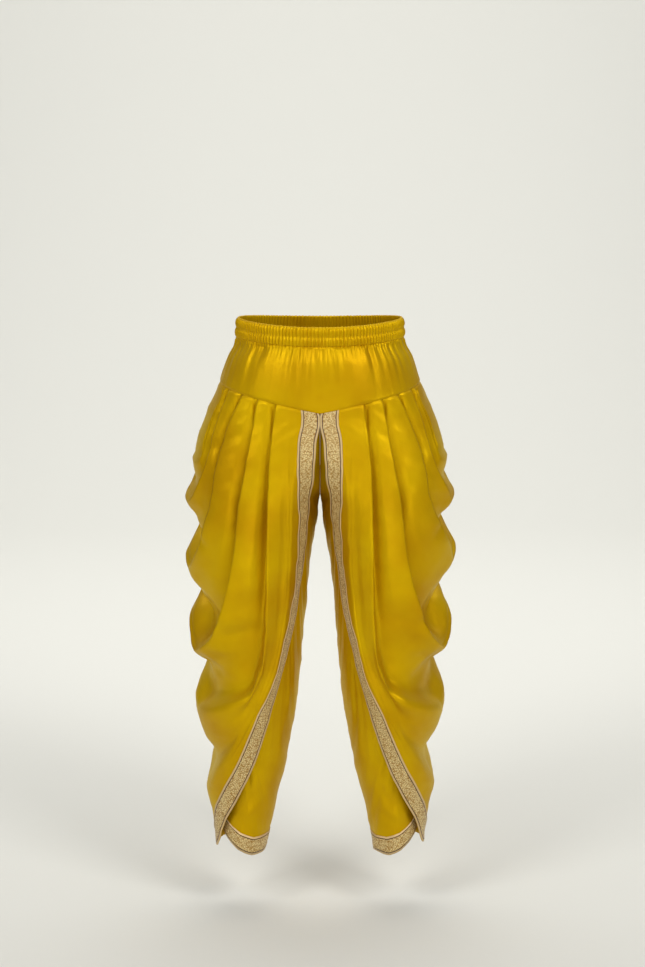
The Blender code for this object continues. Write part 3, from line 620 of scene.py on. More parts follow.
def under_deg(place, top_share, z):
    """The angle, at height z, of a line down the plain panel. Its place is 0 at the free edge, CENTRE_PLACE
    where it starts at the centre front and 1 at the back seam. It leaves the straight way down from its
    start as top_share falls from 1, to share the leg's front evenly with the other lines."""
    edge = under_edge_deg(z)
    back = BACK_SEAM_DEG - 360
    along = (place - CENTRE_PLACE) / (1 - CENTRE_PLACE)
    start = back * along if along > 0 else edge * (1 - place / CENTRE_PLACE)
    crotch_place = CENTRE_PLACE + 90 / -back * (1 - CENTRE_PLACE)
    even = edge - (edge + 90) * place / crotch_place if place < crotch_place else start
    return start * top_share + even * (1 - top_share)


def under_sheet(seam):
    """A leg's plain panel, from its back seam, which is given, round the inside to its free edge: its
    points, and the way that each of them faces."""
    back = BACK_SEAM_DEG - 360
    top, bottom = seam[0, 2], seam[-1, 2]
    top_share = 1 - np.clip((top - seam[:, 2]) / (top - LEVEL_Z), 0, 1)
    low_share = np.clip((HEM_SHAPED_Z - seam[:, 2]) / (HEM_SHAPED_Z - bottom), 0, 1)
    top_front = seam_deg(fold_seam("border_top") + UNDERLAP)
    front_places = np.linspace(0, CENTRE_PLACE, UNDER_FRONT_COLUMNS)
    side_places = np.linspace(CENTRE_PLACE, 1, UNDER_SIDE_COLUMNS)[1:-1]
    columns = [(np.full_like(top_share, back), seam[:, 2])]
    for place in [*front_places, *side_places][::-1]:
        to_edge = 1 - place / CENTRE_PLACE
        along = (place - CENTRE_PLACE) / (1 - CENTRE_PLACE)
        if along > 0:
            start, end = float(crotch_z(back * along)), under_hem_z(back * along, bottom)
        else:
            start = float(yoke_seam_z(top_front * to_edge)) - SEAM_GAP
            end = under_hem_z(HEM_SIDE_DEG * to_edge, bottom)
        z = seam[:, 2] + (start - top) * top_share + (end - bottom) * low_share
        columns.append((under_deg(place, top_share, z), z))
    deg, z = (np.stack(values, axis=1) for values in zip(*columns))
    grid, facing = leg_point(deg, z), (leg_point(deg, z, MM) - leg_point(deg, z)) / MM
    aside = leg_point(back, seam[:, 2]) - leg_point(back - 1, seam[:, 2])
    aside /= np.linalg.norm(aside, axis=1, keepdims=True)
    grid[:, 0] = seam + aside * SEAM_GAP
    grid[..., 0] = np.maximum(grid[..., 0], SEAM_GAP / 2)
    return grid, facing


def band_rise(turn):
    """The waist is a little higher at the sides than at the front and back."""
    return BAND_SIDE_RISE * np.sin(np.radians(turn)) ** 2


def around(turn, z, out):
    """Points of the hips all round: 0 degrees is the centre front and 90 the left side, at +X."""
    point = hull_point(np.abs(turn), z, out)
    point[..., 0] *= np.where(np.asarray(turn) < 0, -1, 1)
    return point


def crease_height(grid, facing, panel, leg):
    """How far the creases raise each point of a sheet."""
    height = np.zeros(grid.shape[:2])
    for crease in CREASES:
        if crease.panel != panel or crease.leg not in ("both", leg):
            continue
        axes = [1, 2] if crease.view == "outer" else [0, 2]
        flat = grid[..., axes] * ([-1, 1] if crease.view == "outer" else [1, 1])
        start, end = np.array(crease[3:5]) * MM, np.array(crease[5:7]) * MM
        across = np.array([start[1] - end[1], end[0] - start[0]]) / np.linalg.norm(end - start)
        away, place = np.full(height.shape, np.inf), np.zeros(height.shape)
        for t in np.linspace(0, 1, 33):
            point = start + (end - start) * t + across * crease.bow * MM * 4 * t * (1 - t)
            gap = np.linalg.norm(flat - point, axis=-1)
            place = np.where(gap < away, t, place)
            away = np.minimum(gap, away)
        seen = {"front": -facing[..., 1], "back": facing[..., 1], "outer": facing[..., 0]}[crease.view]
        taper = np.sin(np.pi * np.clip(place, 0.02, 0.98)) ** 0.8
        height += crease.depth * MM * np.exp(-((away / (crease.width * MM)) ** 2)) * taper * ease(seen / 0.35)
    return height


def wavy(across, along, across_size, along_size, seed):
    """Soft irregular waves, from -1 to 1, of that size across and along the cloth."""
    spots = zip((across / across_size).flat, (along / along_size).flat)
    return np.array([noise.noise(Vector((u, v, seed))) for u, v in spots]).reshape(across.shape) * 1.6


def hang(grid, cloth, panel, leg, starts=None):
    """Gives a panel its creases, waves and pleat edges, and turns its sewn sides in."""
    facing = facings(grid, 2)
    along, down = arc_lengths(grid, 1), arc_lengths(grid, 0)
    away = {"left": along, "right": along[:, -1:] - along, "top": down}
    nearest = np.minimum.reduce([away[name] for name in SEWN[panel]])
    seed = {"left": 3.1, "right": 11.7}[leg] + {"drape": 0, "under": 40}[panel]
    height = cloth.unevenness * wavy(down, along, 0.034, 0.21, seed)
    height += 0.5 * cloth.unevenness * wavy(down, along, 0.017, 0.09, seed + 5)
    height += cloth.crumple * wavy(down, along, 0.011, 0.016, seed + 9)
    height += crease_height(grid, facing, panel, leg)
    height *= ease(nearest / 0.03)
    for name in PLEATS if starts else ():
        past = down - down[starts[name]]
        crisp = PLEATS[name] + (1 - PLEATS[name]) * ease(1 - np.minimum(away["left"], away["right"]) / 0.42)
        crisp *= ease(nearest / 0.012)
        height += cloth.pleat_edge * np.exp(-((past / PLEAT_WIDTH) ** 2)) * crisp
        hollow = np.exp(-(((past + HOLLOW_PLACE) / HOLLOW_WIDTH) ** 2))
        height -= HOLLOW_DEPTH_SHARE * cloth.pleat_edge * hollow * crisp
    height -= cloth.seam_roll * np.exp(-((nearest / ROLL_WIDTH) ** 2))
    moved = grid + facing * height[..., None]
    if panel == "under":
        moved[..., 0] += (grid - moved)[..., 0] * ease(1 - down / 0.03)
    return moved, facing


def tucked(grid, facing, side, reach):
    """The sheet with one more row or column, which goes under its neighbour at that side."""
    if side in ("left", "right"):
        turned_side = {"left": "top", "right": "bottom"}[side]
        turned = tucked(grid.swapaxes(0, 1), facing.swapaxes(0, 1), turned_side, reach)
        return tuple(part.swapaxes(0, 1) for part in turned)
    first, second, order = (0, 1, 1) if side == "top" else (-1, -2, -1)
    step = grid[first] - grid[second]
    step /= np.maximum(np.linalg.norm(step, axis=-1, keepdims=True), 1e-9)
    extra = grid[first] + step * reach - facing[first] * reach * 0.6
    pairs = ((extra, grid), (facing[first], facing))
    return tuple(np.concatenate([row[None], sheet][::order]) for row, sheet in pairs)


def add_mesh(name, points, faces, material, uv=None):
    """A mesh object of those faces. uv, in metres, has a pair for each point or for each face's corner."""
    mesh = bpy.data.meshes.new(name)
    mesh.from_pydata([tuple(p) for p in points], [], faces)
    if uv is not None:
        layer = mesh.uv_layers.new(name="cloth")
        corners = np.zeros(len(mesh.loops), dtype=np.int32)
        mesh.loops.foreach_get("vertex_index", corners)
        uv = np.asarray(uv, float)
        layer.data.foreach_set("uv", (uv[corners] if len(uv) == len(points) else uv).ravel())
    mesh.materials.append(material)
    mesh.shade_smooth()
    piece = bpy.data.objects.new(name, mesh)
    bpy.context.scene.collection.objects.link(piece)
    return piece


def thicken(piece, thickness):
    """Gives a sheet its thickness, inwards, and makes it the only selected object."""
    bpy.ops.object.select_all(action="DESELECT")
    piece.select_set(True)
    bpy.context.view_layer.objects.active = piece
    wall = piece.modifiers.new("Thickness", "SOLIDIFY")
    wall.thickness = thickness
    wall.offset = -1
    bpy.ops.object.modifier_apply(modifier=wall.name)


def add_sheet(name, grid, sign, thickness, material, uv=None):
    """A sheet of cloth on the grid's points. A sign of -1 makes the other leg's."""
    rows, columns = grid.shape[:2]
    points = grid.reshape(-1, 3) * [sign, 1, 1]
    number = np.arange(rows * columns).reshape(rows, columns)
    corners = [number[:-1, :-1], number[1:, :-1], number[1:, 1:], number[:-1, 1:]]
    faces = np.stack([c.ravel() for c in corners], axis=1)[:, :: int(sign)]
    if uv is None:
        uv = np.stack([arc_lengths(grid, 1), arc_lengths(grid, 0)], axis=-1)
    piece = add_mesh(name, points, faces.tolist(), material, uv.reshape(-1, 2))
    thicken(piece, thickness)
    return piece


def dress(piece, slot, *nodes):
    """The piece stands for those solids and moves with the part's body. The slot is not used."""
    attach(piece, "root")
    if nodes:
        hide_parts(*nodes)


def stitches(name, lines, material, pitch=3.2 * MM, length=2.2 * MM, radius=0.32 * MM):
    """Rows of stitches as one mesh. Each line is its points and the way that they face."""
    points, faces = [], []
    sides = 5
    ring = np.radians(np.arange(sides) * 360 / sides)
    for path, facing in lines:
        total = chord_length(path)
        for start in np.arange(pitch, total[-1] - pitch, pitch):
            spots = (start, start + length)
            ends = np.stack([np.interp(spots, total, path[:, k]) for k in range(3)], axis=1)
            up = np.array([np.interp(start, total, facing[:, k]) for k in range(3)])
            ahead = (ends[1] - ends[0]) / np.linalg.norm(ends[1] - ends[0])
            aside = np.cross(ahead, up)
            aside /= np.linalg.norm(aside)
            up = np.cross(aside, ahead)
            first = len(points)
            points.append(ends[0] - up * radius)
            for share in (0.15, 0.85):
                centre = ends[0] * (1 - share) + ends[1] * share + up * radius * 0.6
                points += [centre + radius * (np.cos(a) * aside + np.sin(a) * up) for a in ring]
            last = len(points)
            points.append(ends[1] - up * radius)
            for k in range(sides):
                a, b = first + 1 + k, first + 1 + (k + 1) % sides
                faces += [(first, b, a), (a, b, b + sides, a + sides), (last, a + sides, b + sides)]
    return add_mesh(name, points, faces, material)


def add_node(tree, kind, settings=(), links=(), stops=()):
    """A shader node with its settings, by attribute or, where it is an input's name, by socket, its links
    and, for a colour ramp, its stops, which are places and colours."""
    node = tree.nodes.new(kind)
    for key, value in dict(settings).items():
        if hasattr(node, key):
            setattr(node, key, value)
        else:
            node.inputs[key].default_value = value
    for key, source in dict(links).items():
        tree.links.new(source, node.inputs[key])
    if stops:
        for element, (place, colour) in zip(node.color_ramp.elements, stops[:2]):
            element.position, element.color = place, colour
        for place, colour in stops[2:]:
            node.color_ramp.elements.new(place).color = colour
    return node


def new_material(name):
    material = bpy.data.materials.new(name)
    material.use_nodes = True
    material.node_tree.nodes.clear()
    return material, material.node_tree


def opaque(colour):
    return (*colour, 1.0)


def grey(value):
    return (value, value, value, 1.0)


def make_satin(context):
    """Polyester satin, piece-dyed: long floating threads give it a soft, smooth sheen without sparkle."""
    colours = settings(context, "colours")
    material, tree = new_material("piece_dyed_satin")
    place = add_node(tree, "ShaderNodeTexCoord").outputs["Object"]
    cloth = add_node(tree, "ShaderNodeUVMap", {"uv_map": "cloth"}).outputs["UV"]
    # Dye that took a little more in patches of about 125 mm
    dye = add_node(tree, "ShaderNodeTexNoise", {"Scale": 8.0, "Detail": 3.0}, {"Vector": place})
    tones = [(0.35, opaque(colours.satin_deep)), (0.65, opaque(colours.satin))]
    colour = add_node(tree, "ShaderNodeValToRGB", links={"Fac": dye.outputs["Fac"]}, stops=tones)
    # Threads are 0.1 mm; the streaks that they make together are drawn 0.9 mm wide and 40 mm long
    along = add_node(tree, "ShaderNodeMapping", {"Scale": (25.0, 1100.0, 1.0)}, {"Vector": cloth})
    spot = {"Vector": along.outputs["Vector"]}
    streaks = add_node(tree, "ShaderNodeTexNoise", {"Scale": 1.0, "Detail": 2.0}, spot)
    # Satin floats, drawn 0.45 mm by 1.8 mm where the real ones are a quarter of that
    across = add_node(tree, "ShaderNodeMapping", {"Scale": (555.0, 555.0, 1.0)}, {"Vector": cloth})
    brick = {"Scale": 1.0, "Brick Width": 1.0, "Row Height": 0.25, "Mortar Size": 0.04, "offset": 0.4}
    floats = add_node(tree, "ShaderNodeTexBrick", brick, {"Vector": across.outputs["Vector"]})
    # Soft dents about 11 mm wide, where the cloth doesn't lie quite flat
    dents = add_node(tree, "ShaderNodeTexNoise", {"Scale": 90.0, "Detail": 3.0}, {"Vector": place})
    bump = None
    for height, strength, distance in ((streaks, 0.22, 0.6), (floats, 0.12, 0.2), (dents, 0.16, 1.6)):
        links = {"Height": height.outputs["Fac"]}
        if bump:
            links["Normal"] = bump.outputs["Normal"]
        bump = add_node(tree, "ShaderNodeBump", {"Strength": strength, "Distance": distance * MM}, links)
    sheen = [(0.3, grey(0.36)), (0.7, grey(0.45))]
    rough = add_node(tree, "ShaderNodeValToRGB", links={"Fac": streaks.outputs["Fac"]}, stops=sheen)
    # The tint keeps the white lights from bleaching the yellow
    gloss = {"Metallic": 0.4, "Specular IOR Level": 0.35, "IOR": 1.5, "Specular Tint": (1.0, 0.98, 0.1, 1.0)}
    links = {
        "Base Color": colour.outputs["Color"],
        "Roughness": rough.outputs["Color"],
        "Normal": bump.outputs["Normal"],
    }
    shader = add_node(tree, "ShaderNodeBsdfPrincipled", gloss, links)
    add_node(tree, "ShaderNodeOutputMaterial", links={"Surface": shader.outputs["BSDF"]})
    return material


def make_border(context):
    """Woven metallic ribbon: a beige ground with pale and gold scrolls, cream selvedges and a brown line
    inside each. Its UV map runs along the ribbon, and across it from 0 to 32 mm."""
    colours = settings(context, "colours")
    material, tree = new_material("woven_metallic_ribbon")
    ribbon = add_node(tree, "ShaderNodeUVMap", {"uv_map": "cloth"}).outputs["UV"]
    across = add_node(tree, "ShaderNodeSeparateXYZ", links={"Vector": ribbon}).outputs["Y"]
    share = add_node(tree, "ShaderNodeMath", {"operation": "DIVIDE"}, {0: across})
    share.inputs[1].default_value = BORDER_WIDTH
    # Scrolls about 3.5 mm across in the brocade field, bent by up to 2 mm over about 2.4 mm
    bend = add_node(tree, "ShaderNodeTexNoise", {"Scale": 420.0, "Detail": 2.0}, {"Vector": ribbon})
    bent = add_node(
        tree, "ShaderNodeVectorMath", {"operation": "SCALE", "Scale": 0.0046}, {0: bend.outputs["Color"]}
    )
    spot = add_node(tree, "ShaderNodeVectorMath", {"operation": "ADD"}, {0: ribbon, 1: bent.outputs[0]})
    cells = {"feature": "DISTANCE_TO_EDGE", "Scale": 285.0}
    scrolls = add_node(tree, "ShaderNodeTexVoronoi", cells, {"Vector": spot.outputs[0]}).outputs["Distance"]
    gold, light = opaque(colours.border_gold), opaque(colours.border_light)
    tones = [(0.0, gold), (1.0, gold), (0.09, gold), (0.15, light), (0.30, light)]
    tones.append((0.40, opaque(colours.border_ground)))
    field = add_node(tree, "ShaderNodeValToRGB", links={"Fac": scrolls}, stops=tones)
    # Glints of single metal threads, drawn about 1.1 mm wide where the real ones are 0.3 mm
    speck = add_node(tree, "ShaderNodeTexNoise", {"Scale": 900.0, "Detail": 2.0}, {"Vector": ribbon})
    glints = [(0.38, grey(0.25)), (0.62, grey(0.78))]
    glint = add_node(tree, "ShaderNodeValToRGB", links={"Fac": speck.outputs["Fac"]}, stops=glints)
    speckled = add_node(
        tree,
        "ShaderNodeMix",
        {"data_type": "RGBA", "blend_type": "OVERLAY", "Factor": 0.55},
        {6: field.outputs["Color"], 7: glint.outputs["Color"]},
    )
    # Selvedges 3.4 mm wide and lines 1.6 mm wide
    edge, line, plain = opaque(colours.border_edge), opaque(colours.border_line), (0.0, 0.0, 0.0, 1.0)
    marks = [(0.0, edge), (1.0, edge), (0.105, line), (0.155, plain), (0.845, line), (0.895, edge)]
    inside = [(place, grey(float(colour == plain))) for place, colour in marks]
    stripes, mask = (
        add_node(tree, "ShaderNodeValToRGB", links={"Fac": share.outputs[0]}, stops=stops)
        for stops in (marks, inside)
    )
    for node in (stripes, mask):
        node.color_ramp.interpolation = "CONSTANT"
    colour = add_node(
        tree,
        "ShaderNodeMix",
        {"data_type": "RGBA"},
        {0: mask.outputs["Color"], 6: stripes.outputs["Color"], 7: speckled.outputs[2]},
    )
    # Ribs of the weave, drawn 1.6 mm apart where the real ones are a quarter of that
    ribs = add_node(tree, "ShaderNodeTexWave", {"Scale": 200.0, "bands_direction": "X"}, {"Vector": ribbon})
    weave = {"Height": ribs.outputs["Fac"]}
    bump = add_node(tree, "ShaderNodeBump", {"Strength": 0.35, "Distance": 0.3 * MM}, weave)
    relief = {"Height": scrolls, "Normal": bump.outputs["Normal"]}
    bump = add_node(tree, "ShaderNodeBump", {"Strength": 0.6, "Distance": 0.5 * MM}, relief)
    matt = [(0.1, grey(0.38)), (0.3, grey(0.6))]
    rough = add_node(tree, "ShaderNodeValToRGB", links={"Fac": scrolls}, stops=matt)
    shine = [(0.08, grey(0.3)), (0.2, grey(0.05))]
    metal = add_node(tree, "ShaderNodeValToRGB", links={"Fac": scrolls}, stops=shine)
    links = {
        "Base Color": colour.outputs[2],
        "Roughness": rough.outputs["Color"],
        "Metallic": metal.outputs["Color"],
        "Normal": bump.outputs["Normal"],
    }
    shader = add_node(tree, "ShaderNodeBsdfPrincipled", {"IOR": 1.5}, links)
    add_node(tree, "ShaderNodeOutputMaterial", links={"Surface": shader.outputs["BSDF"]})
    return material


def make_thread(context, name, colour):
    """Spun polyester sewing thread: matt, two strands twisted at about 0.9 mm."""
    material, tree = new_material(name)
    place = add_node(tree, "ShaderNodeTexCoord").outputs["Object"]
    twist = add_node(tree, "ShaderNodeTexNoise", {"Scale": 1100.0, "Detail": 1.0}, {"Vector": place})
    twist = twist.outputs["Fac"]
    tones = [(0.35, opaque([c * 0.8 for c in colour])), (0.65, opaque(colour))]
    strand = add_node(tree, "ShaderNodeValToRGB", links={"Fac": twist}, stops=tones)
    bump = add_node(tree, "ShaderNodeBump", {"Strength": 0.4, "Distance": 0.2 * MM}, {"Height": twist})
    links = {"Base Color": strand.outputs["Color"], "Normal": bump.outputs["Normal"]}
    shader = add_node(tree, "ShaderNodeBsdfPrincipled", {"Roughness": 0.6}, links)
    add_node(tree, "ShaderNodeOutputMaterial", links={"Surface": shader.outputs["BSDF"]})
    return material


def make_paper(context):
    """Matt studio paper, with the faintest tooth, drawn 3 mm wide where the real one is too fine to show."""
    material, tree = new_material("matt_studio_paper")
    place = add_node(tree, "ShaderNodeTexCoord").outputs["Object"]
    tooth = add_node(tree, "ShaderNodeTexNoise", {"Scale": 300.0}, {"Vector": place})
    floor = settings(context, "colours").floor
    tones = [(0.3, opaque([c * 0.99 for c in floor])), (0.7, opaque(floor))]
    tone = add_node(tree, "ShaderNodeValToRGB", links={"Fac": tooth.outputs["Fac"]}, stops=tones)
    links = {"Base Color": tone.outputs["Color"]}
    shader = add_node(tree, "ShaderNodeBsdfPrincipled", {"Roughness": 0.9}, links)
    add_node(tree, "ShaderNodeOutputMaterial", links={"Surface": shader.outputs["BSDF"]})
    return material


def material_named(context, name):
    """The material of that name, which is made when it is first asked for."""
    colours = settings(context, "colours")
    makers = {
        "piece_dyed_satin": lambda: make_satin(context),
        "woven_metallic_ribbon": lambda: make_border(context),
        "satin_thread": lambda: make_thread(context, "satin_thread", colours.thread),
        "ribbon_thread": lambda: make_thread(context, "ribbon_thread", colours.border_ground),
        "matt_studio_paper": lambda: make_paper(context),
    }
    return bpy.data.materials.get(name) or makers[name]()


def gather_phase(turn, band, layer):
    """Where each point lies between two gathers, in radians, with uneven gaps. A layer has its own."""
    angle = np.radians(turn)
    shift = [noise.noise(Vector((9 * math.cos(a), 9 * math.sin(a), layer))) for a in angle]
    return band.gathers * angle + 1.3 * np.array(shift)


def gather_size(turn, band, layer):
    """How big each gather is, from about 0.6 to 1.3."""
    number = np.round(gather_phase(turn, band, layer) / (2 * np.pi))
    return 0.95 + 0.5 * np.array([noise.noise(Vector((n * 0.77, layer, 4.2))) for n in number])


def waistband_sheet(band):
    """Rings of the shirred waistband: up its outside, over its top edge, and down its inside."""
    turn = np.linspace(-180, 180, BAND_COLUMNS, endpoint=False)
    rings = []
    for share in 1 - crowded_ends(BAND_OUTER_RINGS):
        layer = 2.5 * share
        rib = np.abs(np.cos(gather_phase(turn, band, layer) / 2)) ** 0.85
        channel = abs(math.sin(2 * math.pi * share)) ** 0.55
        size = band.gather_depth * gather_size(turn, band, float(share > 0.5))
        out = (band.channel_swell - 0.3 * MM) * channel + size * (rib - 0.75) * (0.35 + 0.65 * channel)
        height = band_rise(turn) - BAND_HEIGHT * share
        rings.append(around(turn, height, out))
    ruffle = np.abs(np.cos(gather_phase(turn, band, 0.0) / 2)) ** 0.8 * gather_size(turn, band, 7.0)
    for angle in np.radians((30, 60, 90, 120, 150)):
        out = -BAND_THICK / 2 + BAND_THICK / 2 * math.cos(angle) + 0.5 * MM * (ruffle - 0.6) * math.cos(angle)
        height = band_rise(turn) + (0.9 * MM + 0.9 * MM * ruffle) * math.sin(angle)
        rings.append(around(turn, height, out))
    for share in crowded_ends(BAND_INNER_RINGS):
        rib = np.abs(np.cos(gather_phase(turn, band, 3 + 2 * share) / 2)) ** 0.7
        channel = abs(math.sin(2 * math.pi * share)) ** 0.5
        size = 0.8 * band.gather_depth * gather_size(turn, band, 5.0)
        out = -BAND_THICK + 0.3 * MM - size * (rib - 0.3) * (0.4 + 0.6 * channel)
        rings.append(around(turn, band_rise(turn) - BAND_HEIGHT * share, out))
    return np.array(rings)


def yoke_sheet(start, end, band, cloth, seed):
    """A yoke panel: small gathers and soft folds under the waistband that die out on the way down."""
    turn = np.linspace(start, end, YOKE_COLUMNS)
    shares = crowded_ends(YOKE_ROWS)[:, None]
    top = band_rise(turn) - BAND_HEIGHT - SEAM_GAP
    z = top + (yoke_seam_z(turn) - top) * shares
    drop = top - z
    circle = [(math.cos(a), math.sin(a)) for a in np.radians(turn)]

    def folds(size, stretch, layer):
        rows = [[(c * size, s * size, d * stretch + layer) for c, s in circle] for d in drop[:, 0]]
        return np.array([[noise.noise(Vector(spot)) for spot in row] for row in rows]) * 1.7

    rib = np.abs(np.cos(gather_phase(turn, band, 2.5) / 2)) ** 0.7 - 0.6
    small = band.pucker * rib * gather_size(turn, band, 1.0) * np.exp(-drop / band.pucker_drop)
    uneven = 0.75 + 0.5 * folds(5, 2, seed + 20)
    soft = band.soft_fold * folds(13, 9, seed) * np.exp(-((drop / band.soft_fold_drop) ** 1.5)) * uneven
    broad = 0.9 * MM * folds(4.5, 5, seed + 7) * ease(drop / 0.03)
    away = np.minimum((yoke_seam_z(turn) - z) * -1, drop)
    ends = np.minimum(turn - turn[0], turn[-1] - turn) * math.pi / 180 * 0.13
    pinch = 0.35 * MM * folds(34, 20, seed + 3) * np.exp(-(away / (9 * MM)))
    out = small + (soft + broad + pinch) * ease(np.minimum(away / 0.006, ends / 0.012))
    out -= cloth.seam_roll * np.exp(-((away / ROLL_WIDTH) ** 2))
    out -= 0.8 * cloth.seam_roll * np.exp(-((ends / (1.8 * MM)) ** 2))
    return around(turn, z, out)


def leg_sheets(side, cloth):
    """The finished forms of one leg's sheets, by name: each its points and the way that they face."""
    flat, starts = drape_sheet(side)
    drape, drape_facing = hang(flat, cloth, "drape", side.name, starts)
    seam = flat[starts["valley_6"] :, -1]
    seam = finer(seam, int(chord_length(seam)[-1] / UNDER_ROW_HEIGHT) + 1)
    plain, _ = under_sheet(seam)
    under, under_facing = hang(plain, cloth, "under", side.name)
    edge = starts["border_top"]
    hem = int(np.argmin(np.abs(seam[:, 2] - flat[edge, -1, 2])))
    return {
        "drape": (drape, drape_facing),
        "edge_border": (drape[edge:], drape_facing[edge:]),
        "under": (under, under_facing),
        "hem_border": (under[hem:], under_facing[hem:]),
    }


def ribbon(grid, facing, cloth):
    """A border's own points: the panel's, moved out, and its UV map, whose width is 32 mm all along."""
    raised = grid + facing * (cloth.border_thick + SEAM_GAP)
    down = arc_lengths(raised, 0)
    across = down / np.maximum(down[-1:], 1e-6) * BORDER_WIDTH
    return raised, np.stack([arc_lengths(raised, 1), across], axis=-1)


def select_edges(piece, test):
    """Leaves the edges whose two ends pass the test selected, in edit mode."""
    bpy.ops.mesh.select_mode(type="EDGE")
    bpy.ops.mesh.select_all(action="DESELECT")
    bpy.ops.object.mode_set(mode="OBJECT")
    for edge in piece.data.edges:
        edge.select = all(test(piece.data.vertices[v].co) for v in edge.vertices)
    bpy.ops.object.mode_set(mode="EDIT")


def add_backdrop(stage):
    """A roll of paper: the floor, a wide bend behind it and the wall."""
    bpy.ops.object.select_all(action="DESELECT")
    bpy.ops.mesh.primitive_plane_add(size=14, location=(0, 0, 0))
    paper = bpy.context.active_object
    paper.name = "backdrop"
    bpy.ops.object.mode_set(mode="EDIT")
    select_edges(paper, lambda co: co.y > 6.9)
    bpy.ops.mesh.extrude_region_move(TRANSFORM_OT_translate={"value": (0, 0, 8)})
    select_edges(paper, lambda co: co.y > 6.9 and co.z < 0.1)
    bpy.ops.mesh.bevel(offset=3.5, segments=24)
    bpy.ops.object.mode_set(mode="OBJECT")
    bpy.ops.object.shade_smooth()
    for vertex in paper.data.vertices:
        vertex.co.z += stage.floor_z
    return paper


def add_softbox(name, place, target, size, power):
    """A square soft light that looks at the target."""
    data = bpy.data.lights.new(name, "AREA")
    data.size, data.energy = size, power
    light = bpy.data.objects.new(name, data)
    light.location = place
    light.rotation_euler = (Vector(target) - Vector(place)).to_track_quat("-Z", "Y").to_euler()
    bpy.context.scene.collection.objects.link(light)


Cut = namedtuple("Cut", "width length share")


class TROUSERS_OT_waistband(bpy.types.Operator):
    """Make the shirred waistband and the stitching between its two channels"""

    bl_idname = "trousers.waistband"
    bl_label = "Waistband"

    def execute(self, context):
        band = settings(context, "band")
        rings = waistband_sheet(band)
        count, columns = rings.shape[:2]
        round_twice = np.concatenate([rings, rings[:, :1]], axis=1)
        round_twice = np.concatenate([round_twice, round_twice[:1]])
        uv = np.stack([arc_lengths(round_twice, 1), arc_lengths(round_twice, 0)], axis=-1)
        r, c = (index.ravel() for index in np.meshgrid(range(count), range(columns), indexing="ij"))
        corners = [(r, c), (r, c + 1), (r + 1, c + 1), (r + 1, c)]
        faces = np.stack([(a % count) * columns + b % columns for a, b in corners], axis=1)
        corner_uv = np.stack([uv[a, b] for a, b in corners], axis=1).reshape(-1, 2)
        satin = material_named(context, "piece_dyed_satin")
        piece = add_mesh("waistband_cloth", rings.reshape(-1, 3), faces.tolist(), satin, corner_uv)
        dress(piece, "satin", "waistband")
        turn = np.linspace(-180, 180, 721)
        path = around(turn, band_rise(turn) - BAND_HEIGHT / 2, 0.2 * MM)
        facing = around(turn, band_rise(turn) - BAND_HEIGHT / 2, 1.0) - path
        seam = stitches("waistband_stitches", [(path, facing)], material_named(context, "satin_thread"))
        dress(seam, "satin")
        return {"FINISHED"}


class TROUSERS_OT_yokes(bpy.types.Operator):
    """Make the front and back of the hip yoke"""

    bl_idname = "trousers.yokes"
    bl_label = "Yokes"

    def execute(self, context):
        band, cloth = settings(context, "band"), settings(context, "cloth")
        satin = material_named(context, "piece_dyed_satin")
        for node, middle, seed in (("yoke_front", 0, 2.0), ("yoke_back", 180, 31.0)):
            grid = yoke_sheet(middle - 90, middle + 90, band, cloth, seed)
            facing = facings(grid)
            for side in ("top", "left", "right"):
                grid, facing = tucked(grid, facing, side, cloth.tuck / 2)
            piece = add_sheet(f"{node}_cloth", grid, 1, cloth.satin_thick, satin)
            dress(piece, "satin", node)
        return {"FINISHED"}


class TROUSERS_OT_legs(bpy.types.Operator):
    """Make each leg's draped panel and plain panel, and the borders along their edges"""

    bl_idname = "trousers.legs"
    bl_label = "Legs and borders"

    def execute(self, context):
        cloth = settings(context, "cloth")
        satin = material_named(context, "piece_dyed_satin")
        woven = material_named(context, "woven_metallic_ribbon")
        thread = material_named(context, "ribbon_thread")
        for side in LEG_SIDES:
            sheets = leg_sheets(side, cloth)
            turn = [side.sign, 1, 1]
            for panel, border, held in (("drape", "edge_border", "draped"), ("under", "hem_border", "hung")):
                name = f"{border}_{side.name}"
                raised, uv = ribbon(*sheets[border], cloth)
                trim = add_sheet(f"{name}_cloth", raised, side.sign, cloth.border_thick, woven, uv)
                dress(trim, "metallic_border", name)
                facing = sheets[border][1]
                lines = [(raised[row] * turn, facing[row] * turn) for row in (1, -2)]
                sewing = stitches(f"{name}_stitches", lines, thread)
                dress(sewing, "metallic_border")
                grid, facing = sheets[panel]
                for seam_side in SEWN[panel]:
                    grid, facing = tucked(grid, facing, seam_side, cloth.tuck)
                grid[..., 0] = np.maximum(grid[..., 0], SEAM_GAP / 3)
                piece = add_sheet(f"{panel}_{side.name}_cloth", grid, side.sign, cloth.satin_thick, satin)
                dress(piece, "satin", f"{panel}_{side.name}")
        return {"FINISHED"}


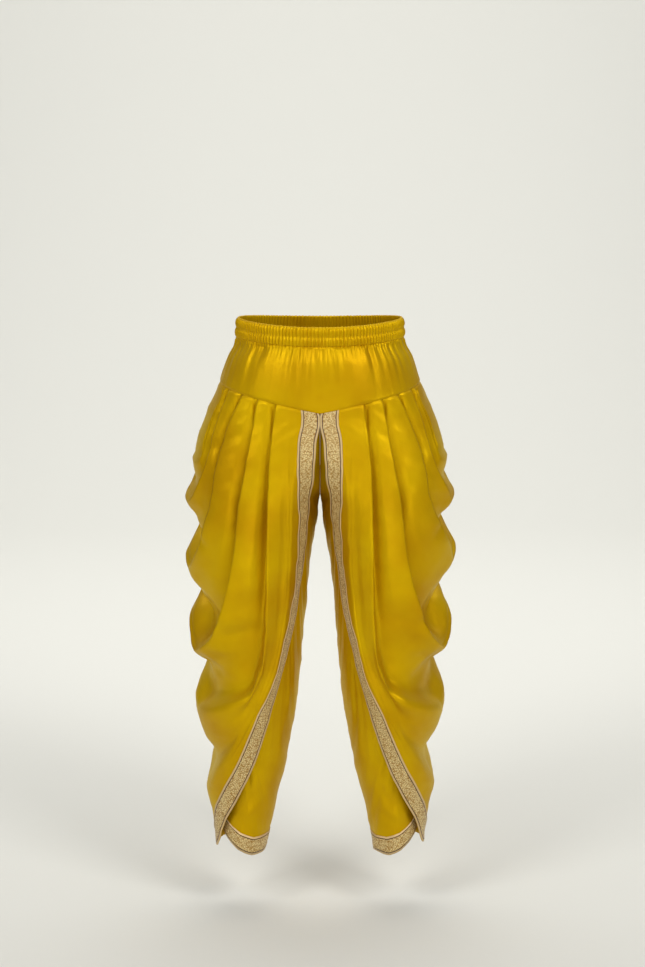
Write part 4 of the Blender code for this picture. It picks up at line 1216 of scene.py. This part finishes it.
class TROUSERS_OT_stage(bpy.types.Operator):
    """Make the paper backdrop, the studio lights and the camera"""

    bl_idname = "trousers.stage"
    bl_label = "Stage"

    def execute(self, context):
        stage = settings(context, "stage")
        floor = add_backdrop(stage)
        floor.data.materials.append(material_named(context, "matt_studio_paper"))
        for name, place, size, power in (
            ("key_light", (1.9, -2.6, 2.0), 1.2, stage.key_power),
            ("side_light", (-2.0, -2.6, 1.9), 1.2, stage.side_power),
            ("front_light", (0.1, -3.1, -0.85), 1.3, stage.front_power),
            ("top_light", (0.1, 0.1, 2.4), 1.4, stage.top_power),
        ):
            add_softbox(name, place, (0, 0, -0.5), size, power)
        add_softbox("paper_light", (0, 2.4, 3.3), (0, 6.0, -0.5), 4.6, stage.paper_power)
        world = bpy.data.worlds.new("studio")
        world.use_nodes = True
        world.node_tree.nodes["Background"].inputs["Color"].default_value = (0.97, 0.98, 1.0, 1.0)
        world.node_tree.nodes["Background"].inputs["Strength"].default_value = stage.world
        context.scene.world = world
        # The clear yellow needs plain sRGB, because the default view greys strong colours
        context.scene.view_settings.view_transform = "Standard"
        data = bpy.data.cameras.new("camera")
        data.sensor_fit, data.sensor_height, data.lens = "VERTICAL", 36.0, stage.camera_lens
        camera = bpy.data.objects.new("camera", data)
        camera.location = (stage.camera_x, stage.camera_y, stage.camera_z)
        camera.rotation_euler = (math.pi / 2 - stage.camera_pitch, 0, 0)
        context.scene.collection.objects.link(camera)
        context.scene.camera = camera
        return {"FINISHED"}


class TROUSERS_PT_sidebar(bpy.types.Panel):
    """The pieces, in the order that they are made in, and their sizes and colours"""

    bl_label = "Trousers"
    bl_idname = "TROUSERS_PT_sidebar"
    bl_space_type = "VIEW_3D"
    bl_region_type = "UI"
    bl_category = "Trousers"

    def draw(self, context):
        for operator in OPERATORS:
            self.layout.operator(operator.bl_idname)
        for name, group in GROUPS.items():
            box = self.layout.box()
            box.label(text=name.capitalize())
            for key in group.__annotations__:
                box.prop(settings(context, name), key)


OPERATORS = (TROUSERS_OT_stage, TROUSERS_OT_waistband, TROUSERS_OT_yokes, TROUSERS_OT_legs)


def register():
    for group in GROUPS.values():
        bpy.utils.register_class(group)
    for name, group in GROUPS.items():
        setattr(bpy.types.Scene, f"trousers_{name}", bpy.props.PointerProperty(type=group))
    for kind in (*OPERATORS, TROUSERS_PT_sidebar):
        bpy.utils.register_class(kind)


def unregister():
    for kind in (TROUSERS_PT_sidebar, *OPERATORS[::-1]):
        bpy.utils.unregister_class(kind)
    for name, group in GROUPS.items():
        delattr(bpy.types.Scene, f"trousers_{name}")
        bpy.utils.unregister_class(group)


def main():
    register()
    bpy.ops.trousers.stage()
    bpy.ops.trousers.waistband()
    bpy.ops.trousers.yokes()
    bpy.ops.trousers.legs()


if __name__ == "__main__":
    main()
